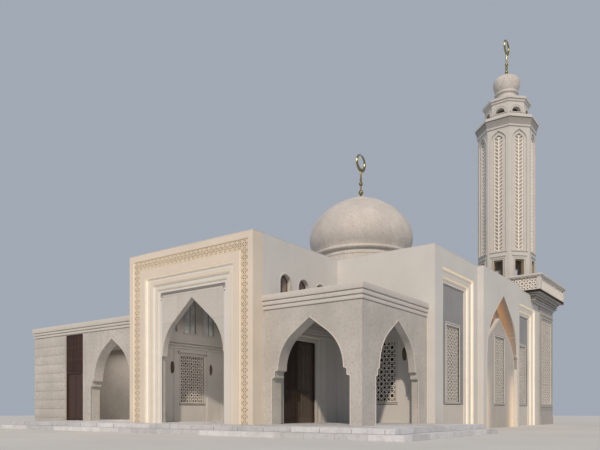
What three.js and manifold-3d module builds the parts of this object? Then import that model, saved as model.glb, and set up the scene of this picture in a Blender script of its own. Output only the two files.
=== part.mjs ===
// Mosque building with a tall portal, a corner porch, a low wing, a dome and a minaret
// Lengths are in millimetres, +Z is up and +Y runs from the front to the back
// Zero is the portal's front right corner on the ground until the whole is centred at the end

import * as THREE from "three";
import { mergeVertices } from "three/addons/utils/BufferGeometryUtils.js";
import Module from "manifold-3d";

const wasm = await Module();
wasm.setup();

// Levels above the ground
const FLOOR = 360;
const STEP_RISE = 180;
const ROOF_TOP = 7300;
const ROOF_THICK = 200;
const PARAPET = 7920;
const LOW_ROOF = [4600, 4740];
const WINDOW_SILL = 1300;

// Gap between pieces that rest on or run beside each other, and the cutters' overrun
const SEAT = 0.3;
const OVER = 20;

// Terrace in front of the building
const TERRACE = { left: -14930, right: 6950, front: -1570, tread: 560 };

// Hall, with its side walls in three bays
const HALL = { left: -12340, right: 4870, front: 6050, back: 22000, frontWall: 400, sideWall: 500 };
const BAY_ENDS = [6050, 11100, 16900, 22000];
const BAY_CENTRES = [8695, 14100, 19305];
const BAY_FRAME = { half: 1855, top: 7130, steps: [0, 330, 570], depths: [120, 240, 300] };
const BAY_PROJECTION = 300;
const BAY_ARCH = {
  jamb: 2510, spring: 2450, springHeight: 3820, apex: 6920, slope: 37, corbels: 1, depth: 220,
};
const BAY_COVE = { springHeight: 3200, apex: 5760, slope: 33, depth: 600 };
const HALL_WINDOW = { half: 750, top: 4750 };
const BACK_WINDOW_CENTRES = [-9400, -5750, -2100];
const ENTRANCE = { centre: -3735, half: 1100, top: 3890 };
const PORCH_WINDOW = { left: 1570, right: 3020, top: 3950 };
const GLASS = { thick: 30, inset: 40, lap: 60 };

// Portal, with a stepped front around a pointed arch
const PORTAL = { left: -7470, right: 0, front: 0, frontDepth: 600, leftWall: 470, rightWall: 450 };
const BAND = { outer: 250, inner: 700, recess: 110, thick: 40 };
const LIGHT_STEPS = [1050, 1380, 1620];
const LIGHT_FRONTS = [150, 260];
const ARCH_PANEL_FRONT = 330;
const PORTAL_ARCH = { jamb: 1990, spring: 1840, springHeight: 3330, apex: 5770, slope: 40, corbels: 1 };
const VESTIBULE_WINDOW = { front: 2700, back: 4250, top: 3600 };
const UPPER_WINDOWS = { centres: [2090, 3370, 4650], half: 370, foot: 4760, top: 6560 };

// Double door in the portal's right wall
const DOORWAY = { front: 1940, back: 4240, top: 3890 };
const DOOR_FRAME = { width: 50, outer: -40, inner: -200 };
const LEAF = { outer: -100, thick: 60, sideGap: 8, meetingGap: 8, endGap: 6, pivotIn: 20, pinRadius: 10 };
const LEAF_PIVOT_DEPTH = 50;

// Corner porch
const PORCH = { left: 0, right: 4500, front: 650, back: 6050, frontWall: 550, sideWall: 290 };
const PORCH_FRONT_ARCH = 2220;
const PORCH_SIDE_ARCH = 3420;
const LOW_ARCH = { jamb: 1770, spring: 1490, springHeight: 2470, apex: 4400, slope: 35, corbels: 2 };
const CORBEL_RISE = 270;
const PORCH_CORNICE = [4840, 5010, 5190, 5450];
const CORNICE_REACH = [30, 65, 100];

// Left wing
const WING = { left: -18100, right: -7470, front: 1500, back: 6050, wall: 540 };
const WING_ARCH = { centre: -10840, apex: 4600 };
const WING_CORNICE = [5050, 5200, 5345, 5640];
const TIMBER = {
  left: -14930, right: -13340, frame: 50, front: 1600, thick: 60, railFoot: 2920, railTop: 3000,
};

// Roof dome
const DOME = { x: -3600, y: 14300, drum: 2750, drumTop: 10180, rim: 2950, rimTop: 10380, wall: 250 };
const DOME_SHELL = { foot: 2850, widest: 3140, widestHeight: 11300, lower: 2020, upper: 2270, point: 280 };
const DOME_CAP = { radius: 530, top: 13920 };
const FINIAL_STEM = 45;
const DOME_FINIAL = {
  foot: DOME_CAP.top, balls: [[14260, 147], [14800, 120], [15060, 75]], crescent: 546, crescentFoot: 15520,
};

// Minaret, square below its balcony and eight sided above
const MINARET = { x: 2600, y: 22800, half: 2350, wall: 500, baseTop: 7500 };
const MINARET_PANEL = { half: 1225, foot: 1300, top: 6800, depth: 100 };
const BALCONY = { band: 2530, bandTop: 7750, reach: 2920, soffitTop: 8050, floor: 8200 };
const BALUSTRADE = { thick: 150, railFoot: 8980, railTop: 9150, railReach: 140, railLap: 60 };
const SHAFT = { radius: 1830, wall: 350, top: 19170, deckFoot: 19640 };
const SHAFT_DOOR = { half: 300, top: 10570 };
const SHAFT_PANEL = {
  halves: [485, 285], foot: 11150, tops: [18900, 18650], depths: [60, 130], point: 1.3,
};
const SHAFT_CORNICE = [[1900, 19170], [1900, 19330], [1990, 19550], [1990, 19800]];
const LANTERN = {
  radius: 1390, wall: 300, foot: 19800, top: 21180, sill: 20200, archTop: 20520, archRadius: 290,
};
const LANTERN_CORNICE = [[1460, 20890], [1460, 21030], [1540, 21030], [1540, 21180]];
const CAP = {
  neck: 640, ring: 770, ringFoot: 21660, ringTop: 21850, widest: 845, widestHeight: 22520, top: 23180,
};
const MINARET_FINIAL = {
  foot: CAP.top, balls: [[23440, 105], [23680, 85], [23940, 105]], crescent: 500, crescentFoot: 24600,
};
const CRESCENT = { inner: 0.76, shift: 0.242, thick: 70 };

// Wall lamps
const LAMP = { radius: 110, length: 560 };
const PORCH_LAMPS = { height: 3360, places: [1130, 3460] };
const VESTIBULE_LAMPS = { height: 3000, places: [2150, 4750] };

// Smoothness of the curves
const ARCH_STEPS = 9;
const CURVE_STEPS = 10;
const ROUND_STEPS = 40;
const DOME_STEPS = 11;
const CAP_STEPS = 10;
const STEM_SIDES = 12;
const BALL_STEPS = 5;

// Plain finishes
const PLASTER = new THREE.MeshStandardMaterial({ color: 0xe9e2d8, roughness: 0.8, metalness: 0 });
const STONE = new THREE.MeshStandardMaterial({ color: 0xcfc5b6, roughness: 0.9, metalness: 0 });
const MARBLE = new THREE.MeshStandardMaterial({ color: 0xd9d5ce, roughness: 0.5, metalness: 0 });
const TIMBER_FINISH = new THREE.MeshStandardMaterial({ color: 0x3a241c, roughness: 0.6, metalness: 0 });
const BRASS = new THREE.MeshStandardMaterial({ color: 0xb08d4a, roughness: 0.3, metalness: 1 });
const DARK_GLASS = new THREE.MeshStandardMaterial({ color: 0x2c2f33, roughness: 0.1, metalness: 0 });

const mosque = new THREE.Group();

// Turn a closed geometry into a solid that can be joined and cut
function asSolid(geometry) {
  const bare = geometry.clone();
  bare.deleteAttribute("normal");
  bare.deleteAttribute("uv");
  const merged = mergeVertices(bare, 1e-3);
  const vertProperties = new Float32Array(merged.attributes.position.array);
  const triVerts = new Uint32Array(merged.index.array);
  return new wasm.Manifold(new wasm.Mesh({ numProp: 3, vertProperties, triVerts }));
}

// Turn a solid back into a geometry
function asGeometry(solid) {
  const mesh = solid.getMesh();
  const geometry = new THREE.BufferGeometry();
  geometry.setAttribute("position", new THREE.BufferAttribute(mesh.vertProperties, 3));
  geometry.setIndex(new THREE.BufferAttribute(mesh.triVerts, 1));
  geometry.computeVertexNormals();
  return geometry;
}

// Name a solid and put it in the building
function addPart(name, solid, material) {
  const mesh = new THREE.Mesh(asGeometry(solid), material);
  mesh.name = name;
  mosque.add(mesh);
}

// Box between two limits on each axis, given in either order
function block(xs, ys, zs) {
  const sizes = [xs, ys, zs].map(([a, b]) => Math.abs(b - a));
  const middles = [xs, ys, zs].map(([a, b]) => (a + b) / 2);
  return asSolid(new THREE.BoxGeometry(...sizes).translate(...middles));
}

// Cut a list of solids from a solid
function cut(solid, cutters) {
  return cutters.reduce((rest, cutter) => rest.subtract(cutter), solid);
}

// Limits on both sides of a middle line
function span(middle, half) {
  return [middle - half, middle + half];
}

// Straight extrusion of a shape
function extruded(shape, depth) {
  return new THREE.ExtrudeGeometry(shape, { depth, bevelEnabled: false, curveSegments: CURVE_STEPS });
}

// Extrude a shape drawn in X and Z along Y
function acrossFront(shape, front, back) {
  const geometry = extruded(shape, back - front);
  const axes = [[1, 0, 0], [0, 0, 1], [0, -1, 0]].map((axis) => new THREE.Vector3(...axis));
  geometry.applyMatrix4(new THREE.Matrix4().makeBasis(...axes));
  return asSolid(geometry.translate(0, back, 0));
}

// Extrude a shape drawn in Y and Z along X
function acrossSide(shape, low, high) {
  const geometry = extruded(shape, high - low);
  const axes = [[0, 1, 0], [0, 0, 1], [1, 0, 0]].map((axis) => new THREE.Vector3(...axis));
  geometry.applyMatrix4(new THREE.Matrix4().makeBasis(...axes));
  return asSolid(geometry.translate(low, 0, 0));
}

// Extrude a plan drawn in X and Y upwards
function upwards(shape, foot, top) {
  return asSolid(extruded(shape, top - foot).translate(0, 0, foot));
}

// Turn a profile of [radius, height] pairs round an upright axis
function turned(profile, x, y, sides = ROUND_STEPS, turn = 0) {
  const points = profile.map(([radius, height]) => new THREE.Vector2(radius, height));
  const geometry = new THREE.LatheGeometry(points, sides);
  geometry.rotateX(Math.PI / 2).rotateZ(turn).translate(x, y, 0);
  return asSolid(geometry);
}

// Close a profile on itself
function ring(profile) {
  return [...profile, profile[0]];
}

// Profiles of a solid rod and of a hollow tube, ready to be turned
function rodProfile(radius, foot, top) {
  return [[0, foot], [radius, foot], [radius, top], [0, top]];
}

function tubeProfile(inner, outer, foot, top) {
  return ring([[inner, foot], [outer, foot], [outer, top], [inner, top]]);
}

// Polygon from a list of [across, up] pairs
function polygon(pairs) {
  return new THREE.Shape(pairs.map(([across, up]) => new THREE.Vector2(across, up)));
}

// Half outline of a pointed arch: stepped corbels, a round haunch and a straight rise to the point
function archHalf(arch, foot) {
  const points = [[arch.jamb, foot]];
  const stepIn = (arch.jamb - arch.spring) / arch.corbels;
  for (let i = 0; i < arch.corbels; i += 1) {
    const height = arch.springHeight - (arch.corbels - 1 - i) * CORBEL_RISE;
    points.push([arch.jamb - i * stepIn, height]);
    points.push([arch.jamb - (i + 1) * stepIn, height]);
  }
  const slope = THREE.MathUtils.degToRad(arch.slope);
  const rise = arch.apex - arch.springHeight;
  const radius = (rise * Math.cos(slope) - arch.spring * Math.sin(slope)) / (1 - Math.sin(slope));
  const sweep = Math.PI / 2 - slope;
  for (let i = 1; i <= ARCH_STEPS; i += 1) {
    const angle = (sweep * i) / ARCH_STEPS;
    const across = arch.spring - radius + radius * Math.cos(angle);
    points.push([across, arch.springHeight + radius * Math.sin(angle)]);
  }
  return points;
}

// Whole outline of a pointed arch about its middle line
function archShape(arch, middle, foot) {
  const half = archHalf(arch, foot);
  const right = half.map(([across, up]) => [middle + across, up]);
  const left = half.map(([across, up]) => [middle - across, up]).reverse();
  return polygon([...right, [middle, arch.apex], ...left]);
}

// Round-headed window outline
function roundHead(middle, half, foot, top) {
  const shape = new THREE.Shape();
  shape.moveTo(middle - half, foot);
  shape.lineTo(middle + half, foot);
  shape.lineTo(middle + half, top - half);
  shape.absarc(middle, top - half, half, 0, Math.PI, false);
  return shape;
}

// Upright bars and a top bar of equal width, open at the foot
function portalFrame(outer, inner, front, back) {
  const left = PORTAL.left + outer;
  const right = PORTAL.right - outer;
  const width = inner - outer;
  const top = PARAPET - outer;
  return acrossFront(
    polygon([
      [left, FLOOR],
      [left + width, FLOOR],
      [left + width, top - width],
      [right - width, top - width],
      [right - width, FLOOR],
      [right, FLOOR],
      [right, top],
      [left, top],
    ]),
    front,
    back,
  );
}

function addTerrace() {
  const inner = WING.left + WING.wall;
  const wingFront = WING.front + WING.wall;
  const wingBack = WING.back - WING.wall;
  const floor = polygon([
    [TERRACE.left, TERRACE.front],
    [TERRACE.right, TERRACE.front],
    [TERRACE.right, HALL.front],
    [HALL.left, HALL.front],
    [HALL.left, wingBack],
    [inner, wingBack],
    [inner, wingFront],
    [TERRACE.left, wingFront],
  ]);
  addPart("terrace_floor", upwards(floor, 0, FLOOR), MARBLE);
  const step = polygon([
    [TERRACE.left, TERRACE.front - TERRACE.tread],
    [TERRACE.right + TERRACE.tread, TERRACE.front - TERRACE.tread],
    [TERRACE.right + TERRACE.tread, HALL.front],
    [TERRACE.right, HALL.front],
    [TERRACE.right, TERRACE.front],
    [TERRACE.left, TERRACE.front],
  ]);
  addPart("terrace_step", upwards(step, 0, STEP_RISE), MARBLE);
}

function addHallFloor() {
  const minaretLeft = MINARET.x - MINARET.half;
  const minaretFront = MINARET.y - MINARET.half;
  const front = HALL.front + HALL.frontWall;
  const left = HALL.left + HALL.sideWall;
  const right = HALL.right - HALL.sideWall;
  const back = HALL.back - HALL.frontWall;
  const plan = [[left, front], [right, front], [right, minaretFront], [minaretLeft, minaretFront],
    [minaretLeft, back], [left, back]];
  addPart("hall_floor", upwards(polygon(plan), 0, FLOOR), MARBLE);
  const slab = upwards(polygon(plan), ROOF_TOP - ROOF_THICK, ROOF_TOP);
  const well = rodProfile(DOME.drum - DOME.wall, ROOF_TOP - ROOF_THICK - OVER, ROOF_TOP + OVER);
  addPart("hall_roof", slab.subtract(turned(well, DOME.x, DOME.y)), PLASTER);
}

function addHallFront() {
  const back = HALL.front + HALL.frontWall;
  const through = [HALL.front - OVER, back + OVER];
  const ends = [HALL.left + HALL.sideWall, HALL.right - HALL.sideWall];
  const wall = block(ends, [HALL.front, back], [0, PARAPET]);
  const entrance = block(span(ENTRANCE.centre, ENTRANCE.half), through, [FLOOR, ENTRANCE.top]);
  const windowSides = [PORCH_WINDOW.left, PORCH_WINDOW.right];
  const porchWindow = block(windowSides, through, [WINDOW_SILL, PORCH_WINDOW.top]);
  addPart("hall_front_wall", cut(wall, [entrance, porchWindow]), PLASTER);
}

// Bay with a stepped, lit frame round a stone panel and its window
function framedBay(index, outer, out) {
  const inner = outer - out * HALL.sideWall;
  const centre = BAY_CENTRES[index];
  const wall = block([inner, outer], [BAY_ENDS[index], BAY_ENDS[index + 1]], [0, PARAPET]);
  const recesses = BAY_FRAME.steps.map((step, i) => {
    const half = BAY_FRAME.half - step;
    const depth = outer - out * BAY_FRAME.depths[i];
    return block([depth, outer + out * OVER], span(centre, half), [-OVER, BAY_FRAME.top - step]);
  });
  return cut(wall, [...recesses, sideWindow(centre, inner, outer)]);
}

// Bay that stands forward, with a pointed recess and a deeper cove over its panel's pointed head
function archedBay(outer, out) {
  const inner = outer - out * HALL.sideWall;
  const face = outer + out * BAY_PROJECTION;
  const wall = block([inner, face], [BAY_ENDS[1], BAY_ENDS[2]], [0, PARAPET]);
  const upTo = (depth) => [face - out * depth, face + out * OVER].sort((a, b) => a - b);
  const outline = archShape(BAY_ARCH, BAY_CENTRES[1], -OVER);
  const recess = acrossSide(outline, ...upTo(BAY_ARCH.depth));
  const headArch = { ...BAY_COVE, jamb: BAY_ARCH.jamb, spring: BAY_ARCH.jamb, corbels: 0 };
  const head = acrossSide(archShape(headArch, BAY_CENTRES[1], -OVER), ...upTo(BAY_COVE.depth + OVER));
  const cove = acrossSide(outline, ...upTo(BAY_COVE.depth)).subtract(head);
  return cut(wall, [recess, cove, sideWindow(BAY_CENTRES[1], inner, face)]);
}

function sideWindow(centre, inner, outer) {
  const across = inner < outer ? [inner - OVER, outer + OVER] : [outer - OVER, inner + OVER];
  return block(across, span(centre, HALL_WINDOW.half), [WINDOW_SILL, HALL_WINDOW.top]);
}

function addHallSides() {
  [["right", HALL.right, 1], ["left", HALL.left, -1]].forEach(([side, outer, out]) => {
    addPart(`hall_${side}_front_bay`, framedBay(0, outer, out), PLASTER);
    addPart(`hall_${side}_arch_bay`, archedBay(outer, out), PLASTER);
    addPart(`hall_${side}_back_bay`, framedBay(2, outer, out), PLASTER);
  });
}

function addHallBack() {
  const front = HALL.back - HALL.frontWall;
  const minaretLeft = MINARET.x - MINARET.half;
  const ends = [HALL.left + HALL.sideWall, minaretLeft];
  const wall = block(ends, [front, HALL.back], [0, PARAPET]);
  const windows = BACK_WINDOW_CENTRES.map((centre) => {
    const through = [front - OVER, HALL.back + OVER];
    return block(span(centre, HALL_WINDOW.half), through, [WINDOW_SILL, HALL_WINDOW.top]);
  });
  addPart("hall_back_wall", cut(wall, windows), PLASTER);
}

function addPortalFront() {
  const border = portalFrame(0, LIGHT_STEPS[0], PORTAL.front, PORTAL.frontDepth);
  const recess = portalFrame(BAND.outer, BAND.inner, PORTAL.front - OVER, PORTAL.front + BAND.recess);
  addPart("portal_border", cut(border, [recess]), PLASTER);
  const bandFront = PORTAL.front + BAND.recess - BAND.thick;
  const band = portalFrame(BAND.outer, BAND.inner, bandFront, PORTAL.front + BAND.recess);
  addPart("portal_carved_band", band, PLASTER);
  const frame = portalFrame(LIGHT_STEPS[0], LIGHT_STEPS[2], LIGHT_FRONTS[0], PORTAL.frontDepth);
  const step = portalFrame(LIGHT_STEPS[1], LIGHT_STEPS[2] + OVER, LIGHT_FRONTS[0] - OVER, LIGHT_FRONTS[1]);
  addPart("portal_light_frame", cut(frame, [step]), PLASTER);
  const sides = [PORTAL.left + LIGHT_STEPS[2], PORTAL.right - LIGHT_STEPS[2]];
  const panel = block(sides, [ARCH_PANEL_FRONT, PORTAL.frontDepth], [FLOOR, PARAPET - LIGHT_STEPS[2]]);
  const outline = archShape(PORTAL_ARCH, (PORTAL.left + PORTAL.right) / 2, FLOOR - OVER);
  const arch = acrossFront(outline, ARCH_PANEL_FRONT - OVER, PORTAL.frontDepth + OVER);
  addPart("portal_arch_panel", cut(panel, [arch]), STONE);
}

// Round-headed windows high in both side walls of the portal
function upperWindows(low, high) {
  return UPPER_WINDOWS.centres.map((centre) => {
    const outline = roundHead(centre, UPPER_WINDOWS.half, UPPER_WINDOWS.foot, UPPER_WINDOWS.top);
    return acrossSide(outline, low, high);
  });
}

function addPortalLeftWall() {
  const inner = PORTAL.left + PORTAL.leftWall;
  const wall = block([PORTAL.left, inner], [PORTAL.frontDepth, HALL.front], [FLOOR, PARAPET]);
  const through = [PORTAL.left - OVER, inner + OVER];
  const lowSides = [VESTIBULE_WINDOW.front, VESTIBULE_WINDOW.back];
  const low = block(through, lowSides, [WINDOW_SILL, VESTIBULE_WINDOW.top]);
  addPart("portal_left_wall", cut(wall, [low, ...upperWindows(...through)]), PLASTER);
}

// The right wall is built as two piers and the wall over the double door
function addPortalRightWall() {
  const inner = PORTAL.right - PORTAL.rightWall;
  const across = [inner, PORTAL.right];
  const through = [inner - OVER, PORTAL.right + OVER];
  const frontPier = block(across, [PORTAL.frontDepth, DOORWAY.front], [FLOOR, DOORWAY.top]);
  addPart("portal_right_front_pier", frontPier, PLASTER);
  const backPier = block(across, [DOORWAY.back, HALL.front], [FLOOR, DOORWAY.top]);
  addPart("portal_right_back_pier", backPier, PLASTER);
  const upper = block(across, [PORTAL.frontDepth, HALL.front], [DOORWAY.top, PARAPET]);
  addPart("portal_right_upper_wall", cut(upper, upperWindows(...through)), PLASTER);
}

function addPortalRoof() {
  const across = [PORTAL.left + PORTAL.leftWall, PORTAL.right - PORTAL.rightWall];
  const roof = block(across, [PORTAL.frontDepth, HALL.front], [ROOF_TOP - ROOF_THICK, ROOF_TOP]);
  addPart("portal_roof", roof, PLASTER);
}

function addDoorFrame() {
  const shape = polygon([
    [DOORWAY.front, FLOOR],
    [DOORWAY.front + DOOR_FRAME.width, FLOOR],
    [DOORWAY.front + DOOR_FRAME.width, DOORWAY.top - DOOR_FRAME.width],
    [DOORWAY.back - DOOR_FRAME.width, DOORWAY.top - DOOR_FRAME.width],
    [DOORWAY.back - DOOR_FRAME.width, FLOOR],
    [DOORWAY.back, FLOOR],
    [DOORWAY.back, DOORWAY.top],
    [DOORWAY.front, DOORWAY.top],
  ]);
  addPart("door_frame", acrossSide(shape, DOOR_FRAME.inner, DOOR_FRAME.outer), TIMBER_FINISH);
}

// Door leaf with a pivot pin in the floor and one in the frame's head
function doorLeaf(jambFace, towardsMiddle, middle) {
  const foot = FLOOR + LEAF.endGap;
  const head = DOORWAY.top - DOOR_FRAME.width;
  const top = head - LEAF.endGap;
  const hinged = jambFace + towardsMiddle * LEAF.sideGap;
  const meeting = middle - towardsMiddle * (LEAF.meetingGap / 2);
  const board = block([LEAF.outer - LEAF.thick, LEAF.outer], [hinged, meeting], [foot, top]);
  const pin = rodProfile(LEAF.pinRadius, FLOOR + SEAT, head - SEAT);
  const pivotY = hinged + towardsMiddle * LEAF.pivotIn;
  return board.add(turned(pin, LEAF.outer - LEAF_PIVOT_DEPTH, pivotY, STEM_SIDES));
}

function addDoorLeaves() {
  const middle = (DOORWAY.front + DOORWAY.back) / 2;
  addPart("door_leaf_front", doorLeaf(DOORWAY.front + DOOR_FRAME.width, 1, middle), TIMBER_FINISH);
  addPart("door_leaf_back", doorLeaf(DOORWAY.back - DOOR_FRAME.width, -1, middle), TIMBER_FINISH);
}

function addPorch() {
  const frontBack = PORCH.front + PORCH.frontWall;
  const front = block([PORCH.left, PORCH.right], [PORCH.front, frontBack], [FLOOR, PORCH_CORNICE[0]]);
  const frontOutline = archShape(LOW_ARCH, PORCH_FRONT_ARCH, FLOOR - OVER);
  const frontArch = acrossFront(frontOutline, PORCH.front - OVER, frontBack + OVER);
  addPart("porch_front_wall", cut(front, [frontArch]), STONE);
  const sideIn = PORCH.right - PORCH.sideWall;
  const side = block([sideIn, PORCH.right], [frontBack, PORCH.back], [FLOOR, PORCH_CORNICE[0]]);
  const sideOutline = archShape(LOW_ARCH, PORCH_SIDE_ARCH, FLOOR - OVER);
  const sideArch = acrossSide(sideOutline, sideIn - OVER, PORCH.right + OVER);
  addPart("porch_side_wall", cut(side, [sideArch]), STONE);
  addPart("porch_roof", block([PORCH.left, sideIn], [frontBack, PORCH.back], LOW_ROOF), PLASTER);
}

// Three stone bands, each reaching further out than the one below
function corniceBands(levels, outline) {
  return CORNICE_REACH.map((reach, i) => upwards(polygon(outline(reach)), levels[i], levels[i + 1]))
    .reduce((whole, band) => whole.add(band));
}

function addCornices() {
  const porch = corniceBands(PORCH_CORNICE, (reach) => [
    [PORCH.left, PORCH.front - reach],
    [PORCH.right + reach, PORCH.front - reach],
    [PORCH.right + reach, PORCH.back],
    [PORCH.right - PORCH.sideWall, PORCH.back],
    [PORCH.right - PORCH.sideWall, PORCH.front + PORCH.frontWall],
    [PORCH.left, PORCH.front + PORCH.frontWall],
  ]);
  addPart("porch_cornice", porch, STONE);
  const wing = corniceBands(WING_CORNICE, (reach) => [
    [WING.right, WING.front - reach],
    [WING.right, WING.front + WING.wall],
    [WING.left + WING.wall, WING.front + WING.wall],
    [WING.left + WING.wall, WING.back - WING.wall],
    [HALL.left, WING.back - WING.wall],
    [HALL.left, WING.back + reach],
    [WING.left - reach, WING.back + reach],
    [WING.left - reach, WING.front - reach],
  ]);
  addPart("wing_cornice", wing, STONE);
}

function addWing() {
  const frontBack = WING.front + WING.wall;
  const front = block([TIMBER.right, WING.right], [WING.front, frontBack], [FLOOR, WING_CORNICE[0]]);
  const arch = { ...LOW_ARCH, apex: WING_ARCH.apex };
  const outline = archShape(arch, WING_ARCH.centre, FLOOR - OVER);
  addPart("wing_arch_wall", cut(front, [acrossFront(outline, WING.front - OVER, frontBack + OVER)]), STONE);
  const end = polygon([
    [WING.left, WING.front],
    [TIMBER.left, WING.front],
    [TIMBER.left, frontBack],
    [WING.left + WING.wall, frontBack],
    [WING.left + WING.wall, WING.back - WING.wall],
    [HALL.left, WING.back - WING.wall],
    [HALL.left, WING.back],
    [WING.left, WING.back],
  ]);
  addPart("wing_end_walls", upwards(end, 0, WING_CORNICE[0]), STONE);
  const roof = polygon([
    [WING.left + WING.wall, frontBack],
    [WING.right, frontBack],
    [WING.right, HALL.front],
    [HALL.left, HALL.front],
    [HALL.left, WING.back - WING.wall],
    [WING.left + WING.wall, WING.back - WING.wall],
  ]);
  addPart("wing_roof", upwards(roof, ...LOW_ROOF), PLASTER);
}

// Timber frame and upper boards beside the arch, with a door under its rail
function addTimber() {
  const back = TIMBER.front + TIMBER.thick;
  const left = TIMBER.left + TIMBER.frame;
  const right = TIMBER.right - TIMBER.frame;
  const front = TIMBER.front - TIMBER.frame;
  const whole = block([TIMBER.left, TIMBER.right], [front, back], [FLOOR, WING_CORNICE[0]]);
  const doorway = block([left, right], [front - OVER, back + OVER], [FLOOR - OVER, TIMBER.railFoot]);
  const upper = [TIMBER.railTop, WING_CORNICE[0] - TIMBER.frame];
  const recess = block([left, right], [front - OVER, TIMBER.front], upper);
  addPart("timber_screen", cut(whole, [doorway, recess]), TIMBER_FINISH);
  const foot = FLOOR + LEAF.endGap;
  const hinged = left + LEAF.sideGap;
  const board = block(
    [hinged, right - LEAF.sideGap],
    [back - LEAF.thick, back],
    [foot, TIMBER.railFoot - LEAF.endGap],
  );
  const profile = rodProfile(LEAF.pinRadius, FLOOR + SEAT, TIMBER.railFoot - SEAT);
  const pin = turned(profile, hinged + LEAF.pivotIn, back - LEAF.thick + LEAF_PIVOT_DEPTH, STEM_SIDES);
  addPart("timber_door", board.add(pin), TIMBER_FINISH);
}

// Points of a shell's side from its foot to its top, a little pointed near the crown
function domeSide(shell, inset, topRadius) {
  const foot = shell.foot - inset;
  const widest = shell.widest - inset;
  const start = -Math.acos(foot / widest);
  const end = Math.acos(topRadius / widest);
  const points = [];
  for (let i = 0; i <= DOME_STEPS; i += 1) {
    const angle = start + ((end - start) * i) / DOME_STEPS;
    const lift = Math.sin(angle);
    const height = lift < 0 ? shell.lower : shell.upper + shell.point * lift ** 4 - inset;
    points.push([widest * Math.cos(angle), shell.widestHeight + height * lift]);
  }
  return points;
}

function addDome() {
  const inner = DOME.drum - DOME.wall;
  const drum = tubeProfile(inner, DOME.drum, ROOF_TOP, DOME.drumTop);
  addPart("dome_drum", turned(drum, DOME.x, DOME.y), STONE);
  const rim = tubeProfile(inner, DOME.rim, DOME.drumTop, DOME.rimTop);
  addPart("dome_rim", turned(rim, DOME.x, DOME.y), STONE);
  const outside = domeSide(DOME_SHELL, 0, DOME_CAP.radius);
  const inside = domeSide(DOME_SHELL, DOME.wall, 1).reverse();
  outside[0][1] = DOME.rimTop;
  inside[inside.length - 1][1] = DOME.rimTop;
  inside[0][0] = 0;
  const cap = [[DOME_CAP.radius, DOME_CAP.top], [0, DOME_CAP.top]];
  addPart("dome_shell", turned([...inside, ...outside, ...cap], DOME.x, DOME.y), STONE);
}

// Stem with balls strung on it
function finialStem(finial) {
  const points = [[0, finial.foot], [FINIAL_STEM, finial.foot]];
  finial.balls.forEach(([height, radius]) => {
    const start = Math.asin(FINIAL_STEM / radius);
    for (let i = 0; i <= BALL_STEPS; i += 1) {
      const angle = start + ((Math.PI - 2 * start) * i) / BALL_STEPS;
      points.push([radius * Math.sin(angle), height - radius * Math.cos(angle)]);
    }
  });
  const top = finial.crescentFoot + finial.crescent * 0.1;
  return [...points, [FINIAL_STEM, top], [0, top]];
}

// Ring that thins upwards to two horns, standing in the plane of Y and Z
function crescent(finial, x, y) {
  const middle = finial.crescentFoot + finial.crescent;
  const disc = new THREE.Shape();
  disc.absarc(y, middle, finial.crescent, 0, Math.PI * 2, false);
  const hollow = new THREE.Shape();
  const hollowMiddle = middle + finial.crescent * CRESCENT.shift;
  hollow.absarc(y, hollowMiddle, finial.crescent * CRESCENT.inner, 0, Math.PI * 2, false);
  const half = CRESCENT.thick / 2;
  return acrossSide(disc, ...span(x, half)).subtract(acrossSide(hollow, ...span(x, half + OVER)));
}

function addFinial(name, finial, x, y) {
  const stem = turned(finialStem(finial), x, y, STEM_SIDES);
  addPart(name, stem.add(crescent(finial, x, y)), BRASS);
}

// Blind panels on the minaret's three outer faces, each about its own visible middle
function minaretRecesses() {
  const { half, foot, top, depth } = MINARET_PANEL;
  const right = MINARET.x + MINARET.half;
  const left = MINARET.x - MINARET.half;
  const back = MINARET.y + MINARET.half;
  const sideMiddle = (HALL.back + back) / 2;
  return [
    block([right - depth, right + OVER], span(sideMiddle, half), [foot, top]),
    block([left - OVER, left + depth], span(sideMiddle, half), [foot, top]),
    block(span(MINARET.x, half), [back - depth, back + OVER], [foot, top]),
  ];
}

function addMinaretBase() {
  const left = MINARET.x - MINARET.half;
  const right = MINARET.x + MINARET.half;
  const front = MINARET.y - MINARET.half;
  const back = MINARET.y + MINARET.half;
  const hallSide = HALL.right - HALL.sideWall;
  const wall = MINARET.wall;
  const plan = polygon([[left, front], [hallSide, front], [hallSide, HALL.back], [right, HALL.back],
    [right, back], [left, back]]);
  const room = polygon([[left + wall, front + wall], [hallSide - wall, front + wall],
    [hallSide - wall, HALL.back + wall], [right - wall, HALL.back + wall],
    [right - wall, back - wall], [left + wall, back - wall]]);
  plan.holes.push(room);
  const tower = upwards(plan, 0, MINARET.baseTop);
  addPart("minaret_base", cut(tower, minaretRecesses()), STONE);
}

// Square tiers have their flat sides along X and Y
function squareTurned(profile) {
  const cornered = profile.map(([half, height]) => [half * Math.SQRT2, height]);
  return turned(cornered, MINARET.x, MINARET.y, 4, Math.PI / 4);
}

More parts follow.
